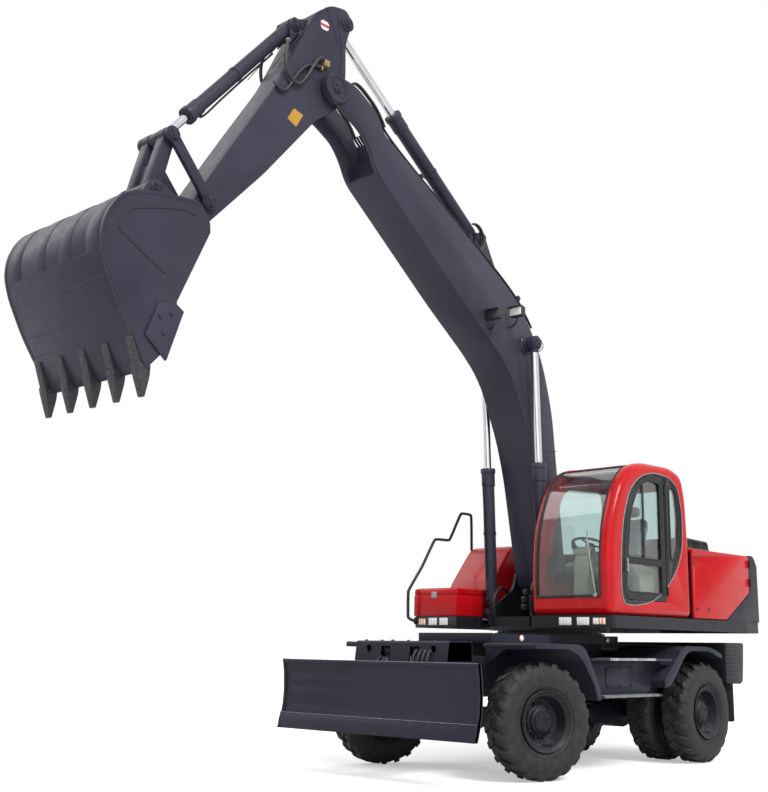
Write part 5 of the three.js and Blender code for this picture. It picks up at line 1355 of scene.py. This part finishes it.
def strip_along(points, proud, deep=0):
    """A closed section that follows a run of outline points, from above the surface to below it."""
    outer, inner = [], []
    for i, point in enumerate(points):
        run = (points[min(i + 1, len(points) - 1)] - points[max(i - 1, 0)]).normalized()
        out = Vector((-run.y, run.x))
        outer.append(tuple(point + out * proud))
        inner.append(tuple(point - out * deep))
    return outer + inner[::-1]


def ram(name, size, base, eye, y, barrel_half, rod_half, eye_radius, coat, bodies, nodes, port=1,
        small=False):
    """A hydraulic cylinder: eye, barrel with welded ports, bolted gland, chromed rod and its forged eye."""
    barrel, rod, length, rod_length, pin = size
    start, end = at(base[0], y, base[1]), at(eye[0], y, eye[1])
    along = (end - start).normalized()
    across = Vector((0, 1, 0))
    above = along.cross(across).normalized() * port
    foot = pin + 16
    neck = min(barrel_half, barrel) - 4
    gland = 60 if small else 200
    lip = 5 if small else 18
    tube = turned("barrel", [(0, foot), (neck, foot), (neck, foot + 40), (neck + 4, foot + 50),
            (barrel, foot + 56), (barrel, length - gland), (barrel + lip / 2, length - gland + 6),
            (barrel + lip / 2, length - 52), (barrel + lip, length - 48), (barrel + lip, length - 6),
            (barrel + lip - 4, length), (rod + 2, length), (rod + 2, foot + 120), (0, foot + 120)], start,
            along, 40)
    lug = turned("eye", [(0, -barrel_half), (pin + 30, -barrel_half), (pin + 34, 4 - barrel_half),
            (pin + 34, barrel_half - 4), (pin + 30, barrel_half), (0, barrel_half)], start, across, 36)
    gland_face = start + along * (length - 1) * MM
    bolts = [gland_face + (above * math.cos(a) + across * math.sin(a)) * (barrel + 3) * MM
             for a in (math.tau * n / 10 for n in range(10))]
    parts = [tube, lug]
    if not small:
        parts.append(hexagons("gland_bolts", bolts, along, 17, 8))
        for place in (foot + 105, length - 150):
            root = start + along * place * MM + above * (barrel - 12) * MM
            parts.append(bar("port", root, root + above * 40 * MM, 20, 4, 20))
        clip = start + along * (length * 0.55) * MM
        parts.append(turned("clamp", [(barrel - 2, -16), (barrel + 6, -16), (barrel + 6, 16),
                (barrel - 2, 16)], clip, along, 40))
        far, near = start + along * (foot + 105) * MM, start + along * (length - 150) * MM
        line = [near + above * (barrel + 22) * MM, near + above * (barrel + 34) * MM - along * 40 * MM,
                near + above * (barrel + 24) * MM - along * 150 * MM, clip + above * (barrel + 16) * MM,
                far + above * (barrel + 18) * MM + along * 240 * MM]
        fit(pipe(f"{name}_feed_pipe", line, 10), bodies[0], "black_steel")
    fit(joined(f"{name}_barrel", parts), bodies[0], coat, [nodes[0]])
    shaft = turned(f"{name}_rod", [(0, -rod_length), (rod, -rod_length), (rod, -eye_radius - 26),
            (rod - 4, -eye_radius - 22), (rod - 4, -eye_radius + 20), (0, -eye_radius + 20)], end, along,
            40)
    fit(shaft, bodies[1], "chrome", [nodes[1]])
    head = turned("rod_eye", [(0, -rod_half), (eye_radius - 5, -rod_half), (eye_radius, 5 - rod_half),
            (eye_radius, rod_half - 5), (eye_radius - 5, rod_half), (0, rod_half)], end, across, 44)
    far = 6 if small else 30
    neck_ring = turned("rod_neck", [(0, -eye_radius - far), (rod + 4, -eye_radius - far),
            (rod + 9, -eye_radius - far / 2), (rod + 9, -eye_radius + 14), (0, -eye_radius + 14)], end,
            along, 36)
    nipple = bar("nipple", end + above * eye_radius * MM * 0.9, end + above * (eye_radius + 14) * MM, 6, 1,
            12)
    fit(joined(f"{name}_rod_eye", [head, neck_ring, nipple]), bodies[1], coat)


def build_boom():
    """A welded box boom with side plates, forked tip, pivot bosses, pipes along its back and work lamps."""
    whole = [(3640, 6690, 90), (3440, 6775, 60), (3230, 6745, 80), (2950, 6580, 60), (2830, 6380, 60),
            (1640, 5715, 200), (1210, 5470, 200), (560, 5080, 300), (150, 4520, 300), (-40, 3880, 200),
            (-112, 3250, 200), (-225, 2250, 200), (-230, 1960, 60), (-190, 1870, 60), (-10, 1870, 60),
            (45, 2000, 60), (110, 2290, 200), (272, 3121, 200), (398, 3531, 200), (545, 3850, 200),
            (650, 4080, 200), (800, 4280, 200), (1010, 4465, 200), (1620, 4905, 200), (2920, 5930, 100),
            (3030, 6150, 120), (3150, 6300, 120), (3400, 6430, 80), (3600, 6500, 90)]
    body = cut_plate("box", whole, ARM - 240, ARM + 240, edge=7, steps=7)
    fork = [(2860, 6000), (2800, 6300), (2800, 6900), (3900, 6900), (3900, 6200), (3000, 5800)]
    core = cut_plate("fork_space", [(x, z, 60) for x, z in fork], ARM - 186, ARM + 186, edge=0, steps=6)
    carve(body, [core])
    details = [body]
    for way in (1, -1):
        inner, outer = ARM + way * 186, ARM + way * 274
        details.append(turned("tip_boss", [(0, 0), (155, 0), (155, 80), (148, 88), (112, 88), (106, 80),
                (0, 80)], at(TIP_PIN[0], inner, TIP_PIN[1]), (0, way, 0), 56))
        details.append(pin_cap("tip_cap", at(TIP_PIN[0], outer - way * 10, TIP_PIN[1]), way, 58))
        details.append(turned("foot_boss", [(0, 0), (132, 0), (132, 34), (126, 40), (0, 40)],
                beside(FOOT_PIN, way * 200), (0, way, 0), 48))
        steps = [(0, 0), (110, 0), (108, 14), (92, 22), (88, 30), (88, 44), (92, 48), (92, 56), (88, 60),
                (88, 66), (0, 66)]
        details.append(turned("cylinder_boss", steps, beside(BOOM_ROD_EYE, way * 238), (0, way, 0), 48))
        details.append(pin_cap("cylinder_cap", beside(BOOM_ROD_EYE, way * 408), way, 60))
        details.append(bar("cylinder_pin", beside(BOOM_ROD_EYE, way * 300), beside(BOOM_ROD_EYE, way * 412),
                40))
        ear = [(760, 5310), (1020, 5780, 70), (1150, 5810, 70), (1190, 5680, 70), (1330, 5440)]
        details.append(cut_plate("ear", ear, *span(way, 82, 108, ARM), edge=4, steps=7))
        details.append(turned("ear_boss", [(0, 0), (74, 0), (74, 16), (68, 20), (0, 20)],
                beside(STICK_RAM_BASE, way * 106), (0, way, 0), 40))
        details.append(pin_cap("ear_cap", beside(STICK_RAM_BASE, way * 124), way, 46))
        face = ARM + way * 240
        details.append(seam("seam", [(-112, 3440), (330, 3380)], face, 4))
        details.append(seam("seam", [(1720, 5760), (2060, 5250)], face, 3))
        details.append(seam("seam", [(2930, 6300), (3030, 6210), (3160, 6330), (3330, 6420)], face, 4,
                True))
    details.append(bar("ear_pin", beside(STICK_RAM_BASE, -128), beside(STICK_RAM_BASE, 128), 44))
    details.append(bar("tip_pin", beside(TIP_PIN, -262), beside(TIP_PIN, 262), 44))
    fit(joined("boom_welded_box", details), "boom", "slate_paint", ["boom"])
    back = [(300, 4836), (480, 5062), (820, 5300), (1190, 5508), (1650, 5768), (2760, 6376), (2830, 6470)]
    lines = []
    for way in (1, -1):
        for gap in (208, 168, 128):
            path = [at(x, ARM + way * gap, z) for x, z in back]
            lines.append(pipe("pipe", path, 13, 3, 8))
    for x, z in ((560, 5126), (1420, 5636), (2240, 6090)):
        for way in (1, -1):
            low, high = span(way, 104, 232, ARM)
            clamp = block("clamp", (x - 26, low, z - 46), (x + 26, high, z + 34), 6)
            lines.append(tilted(clamp, at(x, ARM, z), (0, 1, 0), -30))
    fit(joined("boom_steel_pipes", lines), "boom", "black_steel")
    hoses = []
    for n, way in enumerate((1, 1, -1, -1)):
        y = ARM + way * (202 + 24 * (n % 2))
        hoses.append(pipe("hose", route((2810, y, 6462), (2900, y, 6612), (3060, y, 6722), (3180, y, 6790),
                (3260, y, 6800), (3310, y, 6760), (3318, y, 6720)), 11))
        y = ARM + way * (128 + 26 * (n % 2))
        hoses.append(pipe("hose", route((1190, y, 5512), (1090, y + way * 14, 5640), (1110, y + way * 10,
                5800), (1210, y, 5880), (1260, ARM + way * 122, 5862)), 12))
    fit(joined("boom_hoses", hoses), "boom", "hose")
    lamps, lenses, brackets = [], [], []
    for x, z, y in ((1150, 4790, ARM + 252), (800, 4885, ARM + 300)):
        lamps.append(block("housing", (x - 40, y, z - 54), (x + 34, y + 176, z + 58), 14, 3))
        lamps.append(block("hood", (x + 10, y - 4, z + 48), (x + 62, y + 180, z + 62), 5))
        lenses.append(block("lens", (x + 28, y + 12, z - 42), (x + 42, y + 164, z + 46), 6))
        brackets.append(pipe("bracket", route((x - 6, y + 88, z - 50), (x - 8, y + 80, z - 96),
                (x - 40, y + 30, z - 130), (x - 60, ARM + 236, z - 140)), 9))
        brackets.append(pipe("wire", route((x - 38, y + 60, z), (x - 90, y + 40, z + 60),
                (x - 120, ARM + 236, z + 120)), 4))
    fit(joined("work_lamp_housings", [*lamps, *brackets]), "boom", "black_plastic")
    fit(lenses[1], "boom", "clear_lens")
    fit(lenses[0], "boom", "smoked_lens")
    loops = []
    for way in (1, -1):
        x, y, z = BOOM_ROD_EYE[0], ARM + way * 424, BOOM_ROD_EYE[1]
        loops.append(pipe("grease_line", route((x, y, z), (x - 20, y + way * 34, z + 10),
                (x - 90, y + way * 20, z - 30), (x - 70, y - way * 40, z - 110), (x + 10, ARM + way * 246,
                z - 120)), 5))
    fit(joined("grease_lines", loops), "boom", "hose")


def build_stick():
    """A tapered welded stick with head plates, cylinder ears, pivot bosses and hoses looped on its side."""
    whole = [(3340, 7590, 60), (3255, 7480, 50), (3345, 7190, 60), (3335, 6870, 80), (3365, 6560, 120),
            (3470, 6430, 100), (3728, 6235, 60), (4365, 5478, 100), (4970, 4838, 40), (5070, 4700, 60),
            (5150, 4630, 60), (5260, 4650, 60), (5300, 4760, 60), (5230, 4870, 60), (5060, 5150, 60),
            (4693, 5735, 100), (4214, 6477, 100), (3985, 6950, 100), (3775, 7380, 100), (3560, 7550, 80)]
    body = cut_plate("box", whole, ARM - 170, ARM + 170, edge=7, steps=7)
    slot = cut_plate("head_space", [(3100, 7300), (3100, 7700), (3700, 7700), (3560, 7400), (3420, 7250)],
            ARM - 86, ARM + 86, edge=0)
    carve(body, [slot])
    details = [body]
    for way in (1, -1):
        face = ARM + way * 170
        ear = [(3782, 7321), (3952, 7263, 60), (4044, 7201, 60), (4032, 7121, 60), (4032, 6961)]
        details.append(cut_plate("ear", ear, *span(way, 72, 96, ARM), edge=4, steps=7))
        details.append(turned("ear_boss", [(0, 0), (70, 0), (70, 14), (64, 18), (0, 18)],
                beside(BUCKET_RAM_BASE, way * 94), (0, way, 0), 40))
        details.append(pin_cap("ear_cap", beside(BUCKET_RAM_BASE, way * 110), way, 44))
        details.append(turned("head_boss", [(0, 0), (84, 0), (84, 10), (76, 14), (0, 14)],
                at(STICK_ROD_EYE[0], face - way * 2, STICK_ROD_EYE[1]), (0, way, 0), 40))
        details.append(pin_cap("head_cap", at(STICK_ROD_EYE[0], face + way * 8, STICK_ROD_EYE[1]), way, 48))
        for (x, z), radius in ((GUIDE_PIN, 78), (BUCKET_PIN, 100)):
            details.append(turned("boss", [(0, -4), (radius, -4), (radius, 1), (0, 1)], at(x, face, z),
                    (0, way, 0), 44))
        proud = face + way
        details.append(seam("seam", [(3711, 7415), (4326, 6553)], proud, 4))
        details.append(seam("seam", [(3470, 7480), (3400, 7128), (3398, 6927), (3430, 6760)], proud, 4,
                True))
        details.append(seam("seam", [(3640, 7500), (3560, 7420), (3470, 7180)], proud, 3, True))
        details.append(seam("seam", [(4330, 5570), (4420, 5520), (4960, 4920)], proud, 3))
    details.append(bar("ear_pin", beside(BUCKET_RAM_BASE, -112), beside(BUCKET_RAM_BASE, 112), 40))
    details.append(bar("head_pin", beside(STICK_ROD_EYE, -172), beside(STICK_ROD_EYE, 172), 42))
    details.append(cut_plate("rub_plate", [(4440, 5391), (4930, 4872), (4944, 4886), (4454, 5405)],
            ARM - 130, ARM + 130, edge=3))
    fit(joined("stick_welded_box", details), "stick", "slate_paint", ["stick"])
    hoses = [pipe("hose", route((4110, ARM + 150, 6950), (4135, ARM + 190, 6900), (4180, ARM + 208, 6790),
            (4190, ARM + 215, 6600), (4020, ARM + 205, 6450), (3880, ARM + 208, 6640), (3790, ARM + 212,
            6840), (3700, ARM + 206, 6930), (3640, ARM + 196, 6880)), 17, 4, 10),
            pipe("hose", route((4290, ARM + 176, 6440), (4270, ARM + 196, 6400), (4180, ARM + 200, 6340),
            (4080, ARM + 200, 6500), (3980, ARM + 200, 6680), (3840, ARM + 198, 6800), (3700, ARM + 192,
            6800)), 15, 4, 10), pipe("hose", route((4110, ARM - 150, 6950), (4150, ARM - 196, 6860),
            (4160, ARM - 205, 6600), (4000, ARM - 205, 6500), (3820, ARM - 205, 6760), (3650, ARM - 196,
            6870)), 17, 4, 10)]
    fit(joined("stick_hoses", hoses), "stick", "hose")
    blocks = []
    for way in (1, -1):
        low, high = span(way, 168, 218, ARM)
        blocks.append(block("bulkhead", (3600, low, 6830), (3670, high, 6900), 6))
        blocks.append(bar("union", at(4084, ARM + way * 122, 6972), at(4120, ARM + way * 166, 6934), 24, 4,
                6))
    blocks.append(bar("union", at(3670, ARM + 170, 6806), at(3700, ARM + 200, 6798), 22, 4, 6))
    fit(joined("stick_hose_fittings", blocks), "stick", "brass")
    labels = [cut_plate("label", [(3900, 6230, 10), (4020, 6260, 10), (4100, 6130, 10), (3985, 6080, 10)],
            ARM + 169, ARM + 171.5, edge=0)]
    fit(labels[0], "stick", "yellow_label")
    ring = [(3644 + 62 * math.cos(a), 7292 + 62 * math.sin(a)) for a in (math.tau * (n + 0.5) / 8
            for n in range(8))]
    fit(cut_plate("plain_disc_label", ring, ARM + 169, ARM + 171.5, edge=0), "stick", "striped_label")


def build_links():
    """The guide bars and the H-shaped link that turn the bucket, with collared pins."""
    guide, knee, lug = Vector(GUIDE_PIN), Vector(KNEE_PIN), Vector(LINK_EYE)
    bars = []
    for way in (1, -1):
        low, high = span(way, 176, 222, ARM)
        run = (knee - guide).normalized()
        off = Vector((-run.y, run.x)) * 52
        bars.append(cut_plate("bar", [tuple(guide + off), tuple(knee + off), tuple(knee - off),
                tuple(guide - off)], low, high, edge=7))
        for centre in (guide, knee):
            bars.append(turned("eye", [(0, 0), (68, 0), (74, 6), (74, 40), (68, 46), (0, 46)],
                    beside(centre, way * 176), (0, way, 0), 44))
            bars.append(pin_cap("cap", beside(centre, way * 218), way, 54))
    bars.append(bar("knee_pin", beside(knee, -220), beside(knee, 220), 38))
    bars.append(bar("guide_pin", beside(guide, -220), beside(guide, 220), 38))
    fit(joined("guide_links_forged", bars), "guide_links", "slate_paint", ["guide_links"])
    run = (lug - knee).normalized()
    off = Vector((-run.y, run.x)) * 66
    pieces = []
    for way in (1, -1):
        low, high = span(way, 62, 168, ARM)
        pieces.append(cut_plate("leg", [tuple(knee + off * 0.9), tuple(lug + off), tuple(lug - off),
                tuple(knee - off * 0.9)], low, high, edge=8))
        pieces.append(turned("eye", [(0, 0), (70, 0), (76, 6), (76, 100), (70, 106), (0, 106)],
                beside(knee, way * 62), (0, way, 0), 44))
    middle = knee.lerp(lug, 0.5)
    web = [tuple(middle + off * 0.5), tuple(lug + off * 0.5), tuple(lug - off * 0.5),
            tuple(middle - off * 0.5)]
    pieces.append(cut_plate("web", web, ARM - 150, ARM + 150, edge=8))
    pieces.append(turned("foot", [(0, -168), (72, -168), (78, -162), (78, 162), (72, 168), (0, 168)],
            beside(lug, 0), (0, 1, 0), 44))
    fit(joined("bucket_link_forged", pieces), "bucket_link", "slate_paint", ["bucket_link"])


def build_bucket():
    """A digging bucket: rolled back with wear strips, beaded side plates, cutters and five bolted teeth."""
    outside = [(5380, 4600, 40), (5480, 4735, 80), (5880, 4705, 120), (6080, 4665, 160), (6230, 4590, 160),
            (6325, 4467, 160), (6379, 4329, 160), (6386, 4180, 160), (6334, 4002, 160), (6180, 3700, 100),
            (6060, 3520, 100), (5925, 3285)]
    mouth = [(5880, 3300), (5785, 3402, 20), (5625, 3770, 30), (5675, 3829, 30), (5370, 4500, 20)]
    whole = outside + mouth
    shell = cut_plate("shell", whole, ARM - 725, ARM + 725, edge=4, steps=8)
    scoop = shrunk(whole, 26)[: len(outside) - 1] + [(5890, 3268), (5700, 3200), (5200, 4300), (5340, 4560)]
    carve(shell, [cut_plate("scoop", scoop, ARM - 699, ARM + 699, edge=0, steps=8)])
    curve = [p for p in rounded(whole, 8)[:100] if p.y > 3500 and p.x > 5460]
    upper = [p for p in curve if p.y > 4110]
    parts = [shell]
    for y in (-560, -180, 200, 580):
        parts.append(cut_plate("wear_strip", strip_along(upper, 4, 3), ARM + y - 85, ARM + y + 85, edge=3))
    for height in (4119, 3892, 3683, 3540):
        near = min((p for p in curve if p.x > 6000), key=lambda p: abs(p.y - height))
        parts.append(bar("bead", at(near.x - 3, ARM - 715, near.y), at(near.x - 3, ARM + 715, near.y), 6, 1,
                12))
    for way in (1, -1):
        face = ARM + way * 725
        ring = strip_along(curve, 2, 30)
        low, high = sorted((face - way * 34, face + way * 3))
        parts.append(cut_plate("side_rim", ring, low, high, edge=3))
        parts.append(seam("bead", [(5557, 4574), (5982, 3618)], face, 4))
        parts.append(seam("bead", [(6328, 4412), (6243, 4371)], face, 3))
        cutter = [(5850, 3800), (5700, 3828, 10), (5610, 3772, 10), (5755, 3345, 10), (5960, 3520, 10)]
        low, high = sorted((face - way * 4, face + way * 22))
        parts.append(cut_plate("side_cutter", cutter, low, high, edge=5))
        parts.append(hexagons("cutter_bolts", [at(x, high if way > 0 else low, z) for x, z in ((5730, 3730),
                (5800, 3560), (5840, 3690))], (0, way, 0), 30, 14))
        lug = [(5130, 4660, 60), (5108, 4760, 60), (5170, 4828, 60), (5480, 5015, 60), (5580, 5065, 60),
                (5665, 4995, 60), (5800, 4710), (5480, 4700), (5400, 4610)]
        parts.append(cut_plate("ear", lug, *span(way, 178, 220, ARM), edge=5, steps=8))
        gusset = [(5480, 4725), (5560, 4860, 30), (5660, 4800, 20), (5850, 4700)]
        parts.append(cut_plate("gusset", gusset, *span(way, 216, 238, ARM), edge=4))
        parts.append(turned("ear_boss", [(0, 0), (80, 0), (80, 12), (74, 18), (0, 18)],
                at(5190, ARM + way * 218, 4740), (0, way, 0), 40))
        parts.append(pin_cap("pin_cap", at(5190, ARM + way * 232, 4740), way, 56))
        parts.append(turned("ear_boss", [(0, 0), (66, 0), (66, 12), (60, 16), (0, 16)],
                at(5570, ARM + way * 218, 4965), (0, way, 0), 40))
        parts.append(pin_cap("pin_cap", at(5570, ARM + way * 232, 4965), way, 46))
    parts.append(bar("hinge_pin", at(5190, ARM - 236, 4740), at(5190, ARM + 236, 4740), 44))
    parts.append(bar("link_pin", at(5570, ARM - 236, 4965), at(5570, ARM + 236, 4965), 38))
    spine = [(5420, 4640), (5490, 4790, 30), (5700, 4770, 60), (5860, 4706), (5860, 4690), (5480, 4700)]
    parts.append(cut_plate("crown_rib", spine, ARM - 178, ARM + 178, edge=5))
    lip = [(6075, 3545), (6052, 3548), (5880, 3262), (5896, 3252), (5940, 3285)]
    parts.append(cut_plate("lip", lip, ARM - 724, ARM + 724, edge=3))
    fit(joined("bucket_welded_shell", parts), "bucket", "slate_paint", ["bucket"])
    # Black strips laid just proud of each side plate are painted shade for pressed grooves; no groove is cut
    # in the plate.
    shade_strips = []
    for way in (1, -1):
        face = ARM + way * 726
        shade_strips.append(seam("painted_shade_strip", [(6204, 4401), (6165, 4470), (6106, 4503), (5850, 4580), (5606, 4628),
                (5535, 4599)], face, 5, True))
        shade_strips.append(seam("painted_shade_strip", [(6259, 4302), (5806, 4047)], face, 5))
    fit(joined("bucket_pressed_lines", shade_strips), "bucket", "seal")
    teeth = []
    for n in range(5):
        y = ARM + 663 * (2 * n / 4 - 1)
        adapter = cut_plate("adapter", [(6062, 3500), (6010, 3350, 20), (5985, 3285, 10), (5885, 3285, 10),
                (5878, 3330, 10), (5905, 3452)], y - 44, y + 44, edge=6)
        tip = cut_plate("tip", [(5998, 3300, 14), (5975, 3220, 30), (5924, 3047, 4), (5900, 3047, 4),
                (5876, 3200, 30), (5876, 3300, 14)], y - 52, y + 52, edge=5)
        for vertex in tip.data.vertices:
            narrow = 1 - 0.42 * min(1, max(0, (3.24 - vertex.co.z) / 0.19))
            vertex.co.y = y * MM + (vertex.co.y - y * MM) * narrow
        key = bar("key", at(5940, y - 56, 3272), at(5940, y + 56, 3272), 13, 3, 16)
        teeth += [adapter, tip, key]
    fit(joined("bucket_teeth", teeth), "bucket", "bare_tooth")


def build_rams():
    """All the cylinders; the large ones each carry a feed pipe of their own."""
    for side, way in sides:
        ram(f"boom_ram_{side}", (68, 42, 1640, 1560, 38), BOOM_RAM_BASE, BOOM_ROD_EYE, ARM + way * 360, 48,
                48, 82, "slate_paint", ("boom_barrels", "boom_rods"), (f"boom_cylinder_barrel_{side}",
                f"boom_cylinder_rod_{side}"), -1)
        ram(f"blade_ram_{side}", (50, 28, 440, 325, 24), BLADE_RAM_BASE, BLADE_ROD_EYE, way * 190, 26, 28,
                40, "dark_paint", (f"blade_barrel_{side}", f"blade_rod_{side}"),
                (f"blade_cylinder_barrel_{side}", f"blade_cylinder_rod_{side}"), small=True)
    ram("stick_ram", (76, 46, 1733, 1720, 42), STICK_RAM_BASE, STICK_ROD_EYE, ARM, 76, 58, 78,
            "slate_paint", ("stick_barrel", "stick_rod"), ("stick_cylinder_barrel", "stick_cylinder_rod"),
            1)
    ram("bucket_ram", (66, 40, 1800, 1270, 38), BUCKET_RAM_BASE, KNEE_PIN, ARM, 66, 54, 72, "slate_paint",
            ("bucket_barrel", "bucket_rod"), ("bucket_cylinder_barrel", "bucket_cylinder_rod"), -1)


def build_arm():
    build_boom()
    build_stick()
    build_links()
    build_bucket()
    build_rams()


def build_everything():
    build_wheels()
    build_chassis()
    build_cab()
    build_upper_body()
    build_arm()


bpy.context.scene.view_settings.view_transform = "Standard"
set_camera()
light_the_studio()
lay_the_floor()
paint_the_frame()
build_everything()
